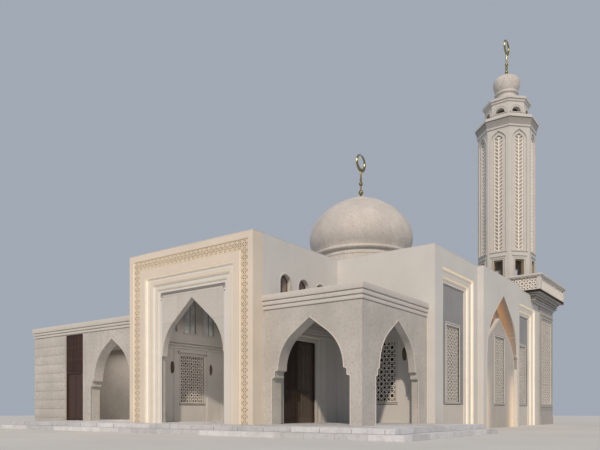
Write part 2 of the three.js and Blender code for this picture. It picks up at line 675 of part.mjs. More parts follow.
function addBalcony() {
  const soffit = squareTurned([
    [0, MINARET.baseTop],
    [BALCONY.band, MINARET.baseTop],
    [BALCONY.band, BALCONY.bandTop],
    [BALCONY.reach, BALCONY.soffitTop],
    [BALCONY.reach, BALCONY.floor],
    [0, BALCONY.floor],
  ]);
  const sideWall = block(
    [HALL.right - HALL.sideWall - SEAT, HALL.right + SEAT],
    [HALL.front, HALL.back + SEAT],
    [0, PARAPET + SEAT],
  );
  const backWall = block(
    [HALL.left, MINARET.x - MINARET.half],
    [HALL.back - HALL.frontWall - SEAT, HALL.back + SEAT],
    [0, PARAPET + SEAT],
  );
  addPart("minaret_balcony", cut(soffit, [sideWall, backWall]), STONE);
  const outer = BALCONY.reach;
  const inner = outer - BALUSTRADE.thick;
  const rail = squareTurned(ring([
    [inner, BALCONY.floor],
    [outer, BALCONY.floor],
    [outer, BALUSTRADE.railFoot],
    [outer + BALUSTRADE.railReach, BALUSTRADE.railFoot],
    [outer + BALUSTRADE.railReach, BALUSTRADE.railTop],
    [inner - BALUSTRADE.railLap, BALUSTRADE.railTop],
    [inner - BALUSTRADE.railLap, BALUSTRADE.railFoot],
    [inner, BALUSTRADE.railFoot],
  ]));
  addPart("minaret_balustrade", rail, STONE);
}

// Eight sided tiers have flat sides along X and Y too
function eightTurned(profile) {
  return turned(profile, MINARET.x, MINARET.y, 8, Math.PI / 8);
}

// Copy a cutter made on the right-hand face round all eight faces
function roundFaces(cutter) {
  const faces = [];
  for (let i = 0; i < 8; i += 1) {
    const centred = cutter.translate(-MINARET.x, -MINARET.y, 0).rotate(0, 0, i * 45);
    faces.push(centred.translate(MINARET.x, MINARET.y, 0));
  }
  return faces;
}

function addShaft() {
  const face = MINARET.x + SHAFT.radius * Math.cos(Math.PI / 8);
  const inner = SHAFT.radius - SHAFT.wall;
  const deck = LANTERN.radius - LANTERN.wall;
  const profile = ring([[inner, BALCONY.floor], [SHAFT.radius, BALCONY.floor], [SHAFT.radius, SHAFT.top],
    ...SHAFT_CORNICE, [deck, LANTERN.foot], [deck, SHAFT.deckFoot], [inner, SHAFT.deckFoot]]);
  const doorway = block(
    [face - SHAFT.wall * 2, face + OVER],
    span(MINARET.y, SHAFT_DOOR.half),
    [BALCONY.floor - OVER, SHAFT_DOOR.top],
  );
  const panels = SHAFT_PANEL.halves.map((half, i) => {
    const top = SHAFT_PANEL.tops[i];
    const spring = top - half * SHAFT_PANEL.point;
    const arch = { jamb: half, spring: half, springHeight: spring, apex: top, slope: 35, corbels: 0 };
    const outline = archShape(arch, MINARET.y, SHAFT_PANEL.foot);
    return acrossSide(outline, face - SHAFT_PANEL.depths[i], face + OVER);
  });
  const cutters = [doorway, ...panels].flatMap(roundFaces);
  addPart("minaret_shaft", cut(eightTurned(profile), cutters), STONE);
}

function addLantern() {
  const inner = LANTERN.radius - LANTERN.wall;
  const face = MINARET.x + LANTERN.radius * Math.cos(Math.PI / 8);
  const ceiling = LANTERN_CORNICE[0][1];
  const profile = [[0, ceiling], [inner, ceiling], [inner, LANTERN.foot], [LANTERN.radius, LANTERN.foot],
    [LANTERN.radius, ceiling], ...LANTERN_CORNICE, [0, LANTERN.top]];
  const outline = roundHead(MINARET.y, LANTERN.archRadius, LANTERN.sill, LANTERN.archTop);
  const arch = acrossSide(outline, face - LANTERN.wall * 2, face + OVER);
  addPart("minaret_lantern", cut(eightTurned(profile), roundFaces(arch)), STONE);
}

function addCap() {
  const profile = [[0, LANTERN.top], [CAP.neck, LANTERN.top], [CAP.neck, CAP.ringFoot],
    [CAP.ring, CAP.ringFoot], [CAP.ring, CAP.ringTop]];
  const start = -Math.acos(CAP.neck / CAP.widest);
  for (let i = 0; i < CAP_STEPS; i += 1) {
    const angle = start + ((Math.PI / 2 - start) * i) / CAP_STEPS;
    const low = (CAP.widestHeight - CAP.ringTop) / Math.sin(-start);
    const lift = angle < 0 ? low : CAP.top - CAP.widestHeight;
    profile.push([CAP.widest * Math.cos(angle), CAP.widestHeight + lift * Math.sin(angle)]);
  }
  addPart("minaret_cap", turned([...profile, [0, CAP.top]], MINARET.x, MINARET.y, 24), STONE);
}

// Panes near the inner face of the walls that show, one to each window
function addPanes() {
  const hallInside = HALL.right - HALL.sideWall + GLASS.inset;
  BAY_CENTRES.forEach((centre, i) => {
    const across = [hallInside, hallInside + GLASS.thick];
    const pane = block(across, span(centre, HALL_WINDOW.half), [WINDOW_SILL, HALL_WINDOW.top]);
    addPart(`hall_right_glass_${i + 1}`, pane, DARK_GLASS);
  });
  const porchInside = HALL.front + HALL.frontWall - GLASS.inset;
  const porchSides = [PORCH_WINDOW.left, PORCH_WINDOW.right];
  const porchDepth = [porchInside - GLASS.thick, porchInside];
  addPart("porch_window_glass", block(porchSides, porchDepth, [WINDOW_SILL, PORCH_WINDOW.top]), DARK_GLASS);
  const outside = PORTAL.left + GLASS.inset;
  const vestibuleSides = [VESTIBULE_WINDOW.front, VESTIBULE_WINDOW.back];
  const vestibuleRise = [WINDOW_SILL, VESTIBULE_WINDOW.top];
  const vestibulePane = block([outside, outside + GLASS.thick], vestibuleSides, vestibuleRise);
  addPart("vestibule_window_glass", vestibulePane, DARK_GLASS);
}

// One sheet on the inner face of a wall closes its row of windows
function addSheets() {
  const lap = GLASS.lap;
  const half = HALL_WINDOW.half + lap;
  const hallRow = [WINDOW_SILL - lap, HALL_WINDOW.top + lap];
  const leftInside = HALL.left + HALL.sideWall;
  const leftEnds = [BAY_CENTRES[0] - half, BAY_CENTRES[2] + half];
  addPart("hall_left_glass", block([leftInside, leftInside + GLASS.thick], leftEnds, hallRow), DARK_GLASS);
  const backInside = HALL.back - HALL.frontWall;
  const backEnds = [BACK_WINDOW_CENTRES[0] - half, BACK_WINDOW_CENTRES[2] + half];
  addPart("hall_back_glass", block(backEnds, [backInside - GLASS.thick, backInside], hallRow), DARK_GLASS);
  const upperHalf = UPPER_WINDOWS.half + lap;
  const upperEnds = [UPPER_WINDOWS.centres[0] - upperHalf, UPPER_WINDOWS.centres[2] + upperHalf];
  const upperRow = [UPPER_WINDOWS.foot - lap, UPPER_WINDOWS.top + lap];
  const left = PORTAL.left + PORTAL.leftWall;
  addPart("portal_left_glass", block([left, left + GLASS.thick], upperEnds, upperRow), DARK_GLASS);
  const right = PORTAL.right - PORTAL.rightWall;
  addPart("portal_right_glass", block([right - GLASS.thick, right], upperEnds, upperRow), DARK_GLASS);
}

// Lamp seen from the front as a tall oval on a thin back plate
function wallLamp(x, y, height, turn) {
  const half = LAMP.length / 2;
  const steps = 8;
  const profile = [];
  for (let i = 0; i <= steps; i += 1) {
    const angle = (Math.PI * i) / steps;
    profile.push([LAMP.radius * Math.sin(angle), -half * Math.cos(angle)]);
  }
  profile[0][0] = 0;
  profile[steps][0] = 0;
  const body = turned(profile, 0, 0, 16);
  const keep = block([-LAMP.radius, LAMP.radius], [-LAMP.radius, 0], [-half, half]);
  const lamp = body.intersect(keep);
  return lamp.rotate(0, 0, turn).translate(x, y, height);
}

function addLamps() {
  PORCH_LAMPS.places.forEach((x, i) => {
    addPart(`porch_lamp_${i + 1}`, wallLamp(x, HALL.front - SEAT, PORCH_LAMPS.height, 0), BRASS);
  });
  const inside = PORTAL.left + PORTAL.leftWall + SEAT;
  VESTIBULE_LAMPS.places.forEach((y, i) => {
    addPart(`vestibule_lamp_${i + 1}`, wallLamp(inside, y, VESTIBULE_LAMPS.height, 90), BRASS);
  });
}

addTerrace();
addHallFloor();
addHallFront();
addHallSides();
addHallBack();
addPortalFront();
addPortalLeftWall();
addPortalRightWall();
addPortalRoof();
addDoorFrame();
addDoorLeaves();
addPorch();
addCornices();
addWing();
addTimber();
addDome();
addFinial("dome_finial", DOME_FINIAL, DOME.x, DOME.y);
addMinaretBase();
addBalcony();
addShaft();
addLantern();
addCap();
addFinial("minaret_finial", MINARET_FINIAL, MINARET.x, MINARET.y);
addPanes();
addSheets();
addLamps();

// Centre the footprint, which runs from the wing's cornice to the lower step and to the balcony
const leftEnd = WING.left - CORNICE_REACH[2];
const rightEnd = TERRACE.right + TERRACE.tread;
const frontEnd = TERRACE.front - TERRACE.tread;
const backEnd = MINARET.y + BALCONY.reach + BALUSTRADE.railReach;
mosque.position.set(-(leftEnd + rightEnd) / 2, -(frontEnd + backEnd) / 2, 0);

export default mosque;
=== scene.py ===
"""Dresses the mosque building: plaster, stone, pierced screens, carving, doors, lamps, dome and minaret."""
import random
from collections import namedtuple
from math import acos, asin, cos, dist, hypot, pi, radians, sin, sqrt, tau
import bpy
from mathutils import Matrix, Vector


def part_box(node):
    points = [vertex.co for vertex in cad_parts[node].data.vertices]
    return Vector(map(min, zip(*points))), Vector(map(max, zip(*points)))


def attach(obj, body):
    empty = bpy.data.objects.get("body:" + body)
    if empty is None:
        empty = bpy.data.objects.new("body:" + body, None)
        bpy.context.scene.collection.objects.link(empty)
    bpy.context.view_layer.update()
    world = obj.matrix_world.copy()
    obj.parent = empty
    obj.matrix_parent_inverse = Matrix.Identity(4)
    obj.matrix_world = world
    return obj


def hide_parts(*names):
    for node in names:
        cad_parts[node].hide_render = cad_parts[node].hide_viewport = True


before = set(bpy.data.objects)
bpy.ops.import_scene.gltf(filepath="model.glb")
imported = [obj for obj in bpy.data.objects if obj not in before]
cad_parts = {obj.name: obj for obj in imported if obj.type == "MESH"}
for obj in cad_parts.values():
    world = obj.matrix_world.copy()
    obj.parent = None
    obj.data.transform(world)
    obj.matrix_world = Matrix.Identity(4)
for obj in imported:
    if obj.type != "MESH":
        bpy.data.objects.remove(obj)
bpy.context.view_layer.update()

from types import SimpleNamespace as Sizes

import bmesh
import bpy
from mathutils import Matrix, Vector

bl_info = {
    "name": "Mosque Building",
    "version": (1, 0, 0),
    "blender": (4, 5, 0),
    "location": "View3D > Sidebar > Mosque",
    "description": "Finishes and fine pieces of a mosque building, made around its solid frame",
    "category": "Object",
}

Arch = namedtuple("Arch", "jamb spring spring_height apex slope corbels")

# The site's zero is the portal's front right corner on the ground; all sizes are metres
SITE = Vector((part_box("portal_border")[1].x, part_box("portal_border")[0].y, 0))
BOXES = {name: [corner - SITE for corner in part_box(name)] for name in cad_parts}

# Levels
FLOOR = 0.36
STEP_RISE = 0.18
PARAPET = 7.92
ROOF_TOP = 7.3
WINDOW_SILL = 1.3
WINDOW_TRIM = 0.1
WINDOW_SHADOW_DROP = 0.135

# Hall
HALL_RIGHT = 4.87
HALL_LEFT = -12.34
HALL_FRONT = 6.05
HALL_BACK = 22
BAY_CENTRES = (8.695, 14.1, 19.305)
BAY_PROJECTION = 0.3
BAY_PARAPET = (11.1, 16.9)
BAY_FRAME = Sizes(half=1.855, top=7.13)
BAY_STEPS = ((0, 0, 0.12), (0.33, 0.12, 0.24), (0.57, 0.24, 0.3))
BAY_LIGHTS = (1, 0.9, 0.45)
BAY_LIGHT_WIDTH = 0.235
BAY_ARCH = Arch(2.51, 2.45, 3.82, 6.92, 37, 1)
BAY_COVE = Arch(2.51, 2.51, 3.2, 5.76, 33, 0)
BAY_RECESS = 0.22
BAY_COVE_DEPTH = 0.6
HALL_WINDOW = Sizes(half=0.75, top=4.75)
BACK_WINDOW_CENTRES = (-9.4, -5.75, -2.1)
PORCH_WINDOW = Sizes(middle=2.295, half=0.725, top=3.95)
VESTIBULE_WINDOW = Sizes(middle=3.475, half=0.775, top=3.6)

# Portal
PORTAL_LEFT = -7.47
BAND = Sizes(outer=0.25, inner=0.7)
PORTAL_STEPS = ((1.05, 0, 0.15), (1.38, 0.15, 0.26), (1.62, 0.26, 0.33))
VESTIBULE = Sizes(wall=0.47, moulding=3.95, pilasters=(1, 2.36, 4.59, 5.7))
UPPER_WINDOWS = Sizes(middles=(2.09, 3.37, 4.65), half=0.37, foot=4.76, top=6.56)
PORTAL_LOOP = ((0, 0), (0, -0.12), (-0.09, -0.12), (-0.09, -0.05))
DOORWAY = Sizes(front=1.94, back=4.24, top=3.89)
DOOR_LEAVES = Sizes(
    back=-0.16, face=-0.1, foot=0.366, top=3.834, hinge_x=-0.15, front_hinge=2.018, back_hinge=4.162,
)

# Terrace, porch and wing
TERRACE = Sizes(left=-14.93, edge=0.35, bed=0.31, wing_front=2.04, step_block=0.6)
PORCH = Sizes(right=4.5, front=0.65)
PORCH_MOULDINGS = ((4.16, 0.03), (4.27, 0.05), (4.38, 0.08))
WING = Sizes(left=-18.1, front=1.5, wall=0.54, room_back=5.51)
TIMBER = Sizes(left=-14.88, right=-13.39, slat=0.095, rail=3.01, cross_rails=(3.64, 4.32), top=4.99)
TIMBER_DOOR = Sizes(foot=0.366, top=2.914, back=1.648, hinge_x=-14.852, hinge_y=1.65, boards=7)
LOW_ARCH = Arch(1.77, 1.49, 2.47, 4.4, 35, 2)
CORBEL_RISE = 0.27
CORBEL_CURL = 0.05
CORBEL_LIP = 0.18
PORCH_FRONT_ARCH = 2.22
PORCH_SIDE_ARCH = 3.42
PORCH_WALLS = Sizes(front=0.55, side=0.29)
WING_ARCH = Sizes(middle=-10.84, apex=4.6)
PORCH_CORNICE = (4.84, 5.01, 5.19, 5.45)
WING_CORNICE = (5.05, 5.2, 5.345, 5.64)
CORNICE_REACH = (0.03, 0.065, 0.1)
CORNICE_GROOVE = Sizes(tall=0.034, deep=0.05)

# Dome
DOME = Sizes(x=-3.6, y=14.3, drum=2.75, drum_top=10.18, rim=2.95, rim_top=10.38, wall=0.25)
DOME_SHELL = Sizes(foot=2.85, widest=3.14, middle=11.3, lower=2.02, upper=2.27, point=0.28)
DOME_CAP = Sizes(radius=0.53, top=13.92)
DOME_FINIAL = Sizes(
    foot=13.92, balls=((14.26, 0.147), (14.8, 0.12), (15.06, 0.075)), crescent=0.546, crescent_foot=15.52,
)

# Minaret
MINARET = Sizes(x=2.6, y=22.8, half=2.35, base_top=7.5)
MINARET_PANEL = Sizes(half=1.225, foot=1.3, top=6.8, depth=0.1)
BASE_COURSES = ((0, 0.03), (0.9, 0.02), (1, 0.02), (6.98, 0.04))
BALCONY = Sizes(reach=2.92, floor=8.2)
DECK_STEPS = (
    (0.51, 7.5), (0.51, 7.6), (0.38, 7.61), (0.36, 7.63), (0.36, 7.69), (0.38, 7.71), (0.45, 7.71),
    (0.45, 7.74), (0.36, 7.76), (0.33, 7.8), (0.33, 7.84), (0.4, 7.84), (0.4, 7.87), (0.28, 7.9),
    (0.24, 7.95), (0.24, 7.99), (0.3, 7.99), (0.3, 8.01), (0.06, 8.03), (0, 8.05), (0, 8.1),
    (0.06, 8.105), (0.06, 8.13), (0, 8.135), (0, 8.2),
)
DECK_LIPS = (
    (0.51, 7.5, 7.6), (0.455, 7.71, 7.74), (0.405, 7.84, 7.87), (0.305, 7.99, 8.01), (0.004, 8.05, 8.1),
    (0.004, 8.135, 8.2),
)
BALUSTRADE = Sizes(thick=0.15, rail_foot=8.98, rail_top=9.15, rail_reach=0.14, rail_lap=0.06)
SHAFT = Sizes(radius=1.83, top=19.17, foot=8.2)
SHAFT_DOOR = Sizes(half=0.3, top=10.57)
SHAFT_PANEL = Sizes(point=1.3, slope=35, halves=(0.485, 0.285), foot=11.15, tops=(18.9, 18.65), depth=0.13)
LANTERN = Sizes(radius=1.39, foot=19.8, top=21.18, sill=20.2, arch_top=20.52, arch_radius=0.29)
LANTERN_BANDS = ((19.83, 19.95, 0.05), (19.98, 20.1, 0.03), (20.87, 20.98, 0.05), (21.06, 21.186, 0.142))
CAP = Sizes(neck=0.66, ring=0.78, ring_foot=21.8, ring_top=22, widest=0.86, middle=22.62, top=23.18)
MINARET_FINIAL = Sizes(
    foot=23.18, balls=((23.44, 0.105), (23.68, 0.085), (23.94, 0.105)), crescent=0.5, crescent_foot=24.58,
)
CRESCENT = Sizes(inner=0.7, shift=0.14, thick=0.06, gap=0.16)
FINIAL_STEM = 0.045

FRONT, RIGHT, BACK, LEFT = -90, 0, 90, 180
EIGHT_SIDES = range(0, 360, 45)
BAR_FACES = ((0, 1, 2, 3), (7, 6, 5, 4), (0, 4, 5, 1), (1, 5, 6, 2), (2, 6, 7, 3), (3, 7, 4, 0))


def facing(angle, x, y, z=0):
    """Frame of a wall: its u runs to the right seen from outside, v runs up and w runs outwards."""
    turn = radians(angle)
    side = Vector((-sin(turn), cos(turn), 0))
    out = Vector((cos(turn), sin(turn), 0))
    place = Matrix((side, Vector((0, 0, 1)), out)).transposed().to_4x4()
    place.translation = Vector((x, y, z))
    return place


def unit(across, up):
    """A flat direction of length one."""
    length = hypot(across, up)
    return across / length, up / length


def mm(*points):
    """Points given in millimetres."""
    return [(across / 1000, out / 1000) for across, out in points]


def mitres(path, closed):
    """For each corner of a flat path, the vector that moves it one unit to the path's right."""
    count = len(path)
    result = []
    for i, point in enumerate(path):
        before = path[i - 1] if closed or i > 0 else None
        after = path[(i + 1) % count] if closed or i < count - 1 else None
        normals = []
        for start, end in ((before, point), (point, after)):
            if start is not None and end is not None:
                across, up = unit(end[0] - start[0], end[1] - start[1])
                normals.append((up, -across))
        if len(normals) == 1:
            result.append(normals[0])
            continue
        (ax, ay), (bx, by) = normals
        scale = 1 + ax * bx + ay * by
        result.append(((ax + bx) / scale, (ay + by) / scale))
    return result


class Shell:
    """Collects points and faces of one piece in the site's metres."""

    def __init__(self):
        self.points = []
        self.faces = []
        self.glow = []
        self.tone = []

    def add(self, points, faces, place=None, glow=0, tone=0.5):
        """Add a body; glow is one value or one for each point, and tone is one value for the body."""
        start = len(self.points)
        for point in points:
            moved = Vector(point)
            self.points.append(place @ moved if place else moved)
        self.faces.extend([start + i for i in face] for face in faces)
        self.glow.extend(glow if isinstance(glow, list) else [glow] * len(points))
        self.tone.extend([tone] * len(points))

    def block(self, low, high, place=None, chamfer=0, tone=0.5):
        """Box with its twelve edges chamfered."""
        if not chamfer:
            corners = [
                (x, y, z) for x in (low[0], high[0]) for y in (low[1], high[1]) for z in (low[2], high[2])
            ]
            faces = [(0, 1, 3, 2), (4, 6, 7, 5), (0, 4, 5, 1), (2, 3, 7, 6), (0, 2, 6, 4), (1, 5, 7, 3)]
            self.add(corners, faces, place, tone=tone)
            return
        points = []
        for corner in range(8):
            bits = [(corner >> axis) & 1 for axis in range(3)]
            for kept in range(3):
                point = []
                for axis in range(3):
                    inset = 0 if axis == kept else chamfer
                    point.append(high[axis] - inset if bits[axis] else low[axis] + inset)
                points.append(point)
        faces = [[3 * corner + kept for kept in range(3)] for corner in range(8)]
        for axis in range(3):
            one, two = [a for a in range(3) if a != axis]
            for side in (0, 1):
                loop = [(0, 0), (1, 0), (1, 1), (0, 1)]
                base = side << axis
                faces.append([3 * (base | a << one | b << two) + axis for a, b in loop])
            for a in (0, 1):
                for b in (0, 1):
                    near = a << one | b << two
                    far = near | 1 << axis
                    faces.append([3 * near + one, 3 * near + two, 3 * far + two, 3 * far + one])
        self.add(points, faces, place, tone=tone)

    def prism(self, outline, back, front, place=None):
        """Solid between two depths with a flat outline."""
        count = len(outline)
        points = [(u, v, out) for out in (back, front) for u, v in outline]
        faces = [list(range(count)), list(range(count, 2 * count))]
        self.add(points, faces + ring_faces(2, count, True, False), place)

    def moulding(self, path, profile, place=None, closed=False, glow=None):
        """Sweep a closed profile of (right of the path, out of its plane) with mitred corners."""
        moves = mitres(path, closed)
        count = len(profile)
        points = []
        for (u, v), (mu, mv) in zip(path, moves):
            points += [(u + mu * across, v + mv * across, out) for across, out in profile]
        faces = ring_faces(len(path), count, True, closed)
        if not closed:
            faces += [list(range(count)), [(len(path) - 1) * count + i for i in range(count)]]
        if glow and len(glow) == count:
            glow = glow * len(path)
        self.add(points, faces, place, glow or 0)

    def turned(self, profile, x, y, sides=64):
        """Turn a profile of (radius, height); one that leaves the axis open is closed on itself."""
        solid = profile[0][0] == 0 and profile[-1][0] == 0
        middle = profile[1:-1] if solid else profile
        points = []
        for i in range(sides):
            angle = tau * i / sides
            points += [(x + r * cos(angle), y + r * sin(angle), z) for r, z in middle]
        count = len(middle)
        faces = ring_faces(sides, count, not solid, True)
        if solid:
            low, high = len(points), len(points) + 1
            points += [(x, y, profile[0][1]), (x, y, profile[-1][1])]
            for i in range(sides):
                after = (i + 1) % sides
                faces.append([low, i * count, after * count])
                faces.append([high, after * count + count - 1, i * count + count - 1])
        self.add(points, faces)

    def rod(self, start, end, width, back, front, place=None, taper=0.7):
        """Straight flat bar between two points of a wall, narrower at its front."""
        across, up = unit(end[0] - start[0], end[1] - start[1])
        half = width / 2
        points = []
        for u, v in (start, end):
            for reach, out in ((half, back), (half * taper, front), (-half * taper, front), (-half, back)):
                points.append((u + up * reach, v - across * reach, out))
        self.add(points, BAR_FACES, place)


def ring_faces(rings, count, round_profile, round_path):
    """Faces that join rings of equal point counts."""
    faces = []
    for i in range(rings if round_path else rings - 1):
        after = (i + 1) % rings
        for j in range(count if round_profile else count - 1):
            beside = (j + 1) % count
            faces.append([i * count + j, i * count + beside, after * count + beside, after * count + j])
    return faces


def placed(name, data, spot=(0, 0, 0), turn=(0, 0, 0)):
    """Put a mesh, light or camera in the scene."""
    made = bpy.data.objects.new(name, data)
    made.location = spot
    made.rotation_euler = turn
    bpy.context.scene.collection.objects.link(made)
    return made


def piece(name, shell, finish, slot, body="building", replaces=(), smooth=32):
    """Make an object of a shell, face it outwards, smooth its round sides and tie it to its body."""
    mesh = bpy.data.meshes.new(name)
    mesh.from_pydata([point + SITE for point in shell.points], [], shell.faces)
    for label, values in (("glow", shell.glow), ("tone", shell.tone)):
        mesh.attributes.new(label, "FLOAT", "POINT").data.foreach_set("value", values)
    shape = bmesh.new()
    shape.from_mesh(mesh)
    bmesh.ops.recalc_face_normals(shape, faces=shape.faces)
    shape.to_mesh(mesh)
    shape.free()
    for polygon in mesh.polygons:
        polygon.use_smooth = True
    mesh.set_sharp_from_angle(angle=radians(smooth))
    made = placed(name, mesh)
    mesh.materials.append(bpy.data.materials[finish])
    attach(made, body)
    if replaces:
        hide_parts(*replaces)
    return made


def corbel_curl(arch, i, count):
    """Curled edge under one step of an arch, from the jamb's side inwards."""
    step = (arch.jamb - arch.spring) / arch.corbels
    top = arch.spring_height - (arch.corbels - 1 - i) * CORBEL_RISE
    start = arch.jamb - i * step
    lip = step * CORBEL_LIP
    points = [(start, top - CORBEL_CURL), (start - lip, top - CORBEL_CURL)]
    for k in range(1, count + 1):
        share = k / count
        reach = lip + (step - lip) * (1 - cos(pi * share)) / 2
        points.append((start - reach, top - CORBEL_CURL * (1 - share)))
    return points


def arch_half(arch, foot):
    """Half outline of a pointed arch: jamb, curled corbels, round haunch, then straight to the point."""
    points = [(arch.jamb, foot)]
    for i in range(arch.corbels):
        points += corbel_curl(arch, i, 6)
    slope = radians(arch.slope)
    rise = arch.apex - arch.spring_height
    radius = (rise * cos(slope) - arch.spring * sin(slope)) / (1 - sin(slope))
    if not arch.corbels:
        points.append((arch.spring, arch.spring_height))
    for i in range(1, 17):
        angle = (pi / 2 - slope) * i / 16
        across = arch.spring - radius + radius * cos(angle)
        points.append((across, arch.spring_height + radius * sin(angle)))
    return points


def arch_path(arch, foot, middle=0):
    """Whole outline of an arch from its right foot over the point to its left foot."""
    half = arch_half(arch, foot)
    half = [point for i, point in enumerate(half) if i == 0 or dist(point, half[i - 1]) > 1e-6]
    right = [(middle + u, v) for u, v in half]
    left = [(middle - u, v) for u, v in reversed(half)]
    return right + [(middle, arch.apex)] + left


def arch_head(arch, middle, foot):
    """Part of an arch's outline above a height."""
    return [point for point in arch_path(arch, foot, middle) if point[1] >= foot]


def plain_arch(half, top):
    """Pointed arch without corbels, of a given half width and top."""
    return Arch(half, half, top - half * SHAFT_PANEL.point, top, SHAFT_PANEL.slope, 0)


# Size of a star in its square, and the step in depth between two crossing bars
STAR_HALF = 0.172
BAR_LAYER = 0.0006


def clipped(point, direction, outline):
    """Part of an endless line that lies inside a convex outline given anticlockwise, or None."""
    low, high = -1e9, 1e9
    for (ax, ay), (bx, by) in zip(outline, outline[1:] + outline[:1]):
        nx, ny = -(by - ay), bx - ax
        ahead = nx * direction[0] + ny * direction[1]
        gap = nx * (ax - point[0]) + ny * (ay - point[1])
        if abs(ahead) < 1e-9:
            if gap > 0:
                return None
        elif ahead > 0:
            low = max(low, gap / ahead)
        else:
            high = min(high, gap / ahead)
    if high - low < 0.02:
        return None
    return [(point[0] + direction[0] * t, point[1] + direction[1] * t) for t in (low, high)]


def lattice(shell, outline, place, period, bar, back, front, origin=(0, 0)):
    """Pierced screen of eight-pointed stars, made of bars cut to a convex outline."""
    low = [min(values) for values in zip(*outline)]
    high = [max(values) for values in zip(*outline)]
    count = int((high[0] - low[0] + high[1] - low[1] + period) / period) + 2
    corner = [start + period * round((edge - start) / period) for start, edge in zip(origin, low)]
    half = period * STAR_HALF
    slant = sqrt(0.5)
    families = [
        ((1, 0), (0, 1), period, (period / 2,), 0.0024, -0.001),
        ((0, 1), (1, 0), period, (period / 2,), 0.003, -0.001),
    ]
    stars = (
        ((1, 0), (0, 1), period), ((0, 1), (1, 0), period),
        ((slant, slant), (slant, -slant), period * slant), ((slant, -slant), (slant, slant), period * slant),
    )
    for layer, (normal, along, spacing) in enumerate(stars):
        families.append((normal, along, spacing, (-half, half), BAR_LAYER * layer, BAR_LAYER * layer))
    for normal, along, spacing, shifts, sunk, raised in families:
        for i in range(-count, count + 1):
            for shift in shifts:
                reach = i * spacing + shift
                through = (corner[0] + normal[0] * reach, corner[1] + normal[1] * reach)
                cut = clipped(through, along, outline)
                if cut:
                    shell.rod(*cut, bar, back - sunk, front + raised, place)


def rectangle(left, right, foot, top):
    """Anticlockwise rectangle."""
    return [(left, foot), (right, foot), (right, top), (left, top)]


class Finish:
    """Builds one node material; its calls return sockets that other calls take."""

    def __init__(self, name):
        self.material = bpy.data.materials.new(name)
        self.material.use_nodes = True
        self.tree = self.material.node_tree
        self.shader = self.tree.nodes["Principled BSDF"]
        self.place = self.node("TexCoord").outputs["Object"]

    def node(self, kind, inputs=None, **settings):
        made = self.tree.nodes.new("ShaderNode" + kind)
        for name, value in settings.items():
            setattr(made, name, value)
        for name, value in (inputs or {}).items():
            if isinstance(value, bpy.types.NodeSocket):
                self.tree.links.new(value, made.inputs[name])
            else:
                made.inputs[name].default_value = value
        return made

    def math(self, operation, first, second=0):
        return self.node("Math", {0: first, 1: second}, operation=operation).outputs[0]

    def axes(self):
        return self.node("SeparateXYZ", {0: self.place}).outputs

    def noise(self, scale, detail=4, stretch=(1, 1, 1), rough=0.55):
        where = self.node("Mapping", {"Vector": self.place, "Scale": stretch}).outputs[0]
        made = self.node("TexNoise", {"Vector": where, "Scale": scale, "Detail": detail, "Roughness": rough})
        return made.outputs[0]

    def spread(self, value, low, high, out_low=0, out_high=1):
        limits = {"Value": value, "From Min": low, "From Max": high, "To Min": out_low, "To Max": out_high}
        return self.node("MapRange", limits).outputs[0]

    def ramp(self, value, *stops):
        made = self.node("ValToRGB", {"Fac": value})
        elements = made.color_ramp.elements
        while len(elements) < len(stops):
            elements.new(1)
        for element, (place, colour) in zip(elements, stops):
            element.position = place
            element.color = (*colour, 1)
        return made.outputs[0]

    def mix(self, factor, first, second, blend="MIX"):
        made = self.node("Mix", {0: factor}, data_type="RGBA", blend_type=blend)
        for socket, value in ((made.inputs[6], first), (made.inputs[7], second)):
            if isinstance(value, bpy.types.NodeSocket):
                self.tree.links.new(value, socket)
            else:
                socket.default_value = (*value, 1)
        return made.outputs[2]

    def blend(self, mask, share, base, colour):
        """Lay a colour over another where a mask is high."""
        return self.mix(self.math("MULTIPLY", mask, share), base, colour)

    def tinted(self, base, tone):
        """Multiply a colour by a value."""
        grey = self.node("CombineColor", {0: tone, 1: tone, 2: tone}).outputs[0]
        return self.mix(1, base, grey, "MULTIPLY")

    def value(self, name):
        return self.node("Attribute", attribute_name=name).outputs["Fac"]

    def finish(self, colour, rough, height=None, distance=0.003, strength=0.6, **fixed):
        """Join colour, roughness and relief to the shader; what is the same all over is set on it."""
        self.tree.links.new(colour, self.shader.inputs["Base Color"])
        self.tree.links.new(rough, self.shader.inputs["Roughness"])
        if height:
            relief = self.node("Bump", {"Height": height, "Strength": strength, "Distance": distance})
            self.tree.links.new(relief.outputs[0], self.shader.inputs["Normal"])
        for name, amount in fixed.items():
            self.shader.inputs[name.replace("_", " ").title()].default_value = amount
        return self.material


DUST_COLOUR = (0.42, 0.36, 0.29)
DUST_HEIGHT = 1.1


def shade(colour, amount):
    return tuple(channel * amount for channel in colour)


def weathered(coat, colour, contrast):
    """Colour of a wall with broad patches, rain streaks, fine grain and dust near the ground."""
    patches = coat.noise(0.55, 5)
    base = coat.ramp(patches, (0.3, shade(colour, 1 - contrast)), (0.72, shade(colour, 1 + contrast * 0.6)))
    streaks = coat.spread(coat.noise(1, 6, (4, 4, 0.22)), 0.52, 0.85)
    base = coat.blend(streaks, contrast * 2.2, base, shade(colour, 0.72))
    grain = coat.spread(coat.noise(60, 3), 0.25, 0.75, 1 - contrast * 0.5, 1 + contrast * 0.3)
    dust = coat.spread(coat.axes()[2], 0, DUST_HEIGHT, 0.22, 0)
    return coat.blend(dust, patches, coat.tinted(base, grain), DUST_COLOUR)


def make_plaster(name, colour, contrast):
    coat = Finish(name)
    base = weathered(coat, colour, contrast)
    fine = coat.noise(140, 3)
    trowel = coat.noise(6, 4, (1, 1, 0.5))
    height = coat.math("ADD", coat.math("MULTIPLY", fine, 0.35), trowel)
    rough = coat.spread(trowel, 0.3, 0.7, 0.72, 0.9)
    coat.finish(base, rough, height, 0.004, 0.5)


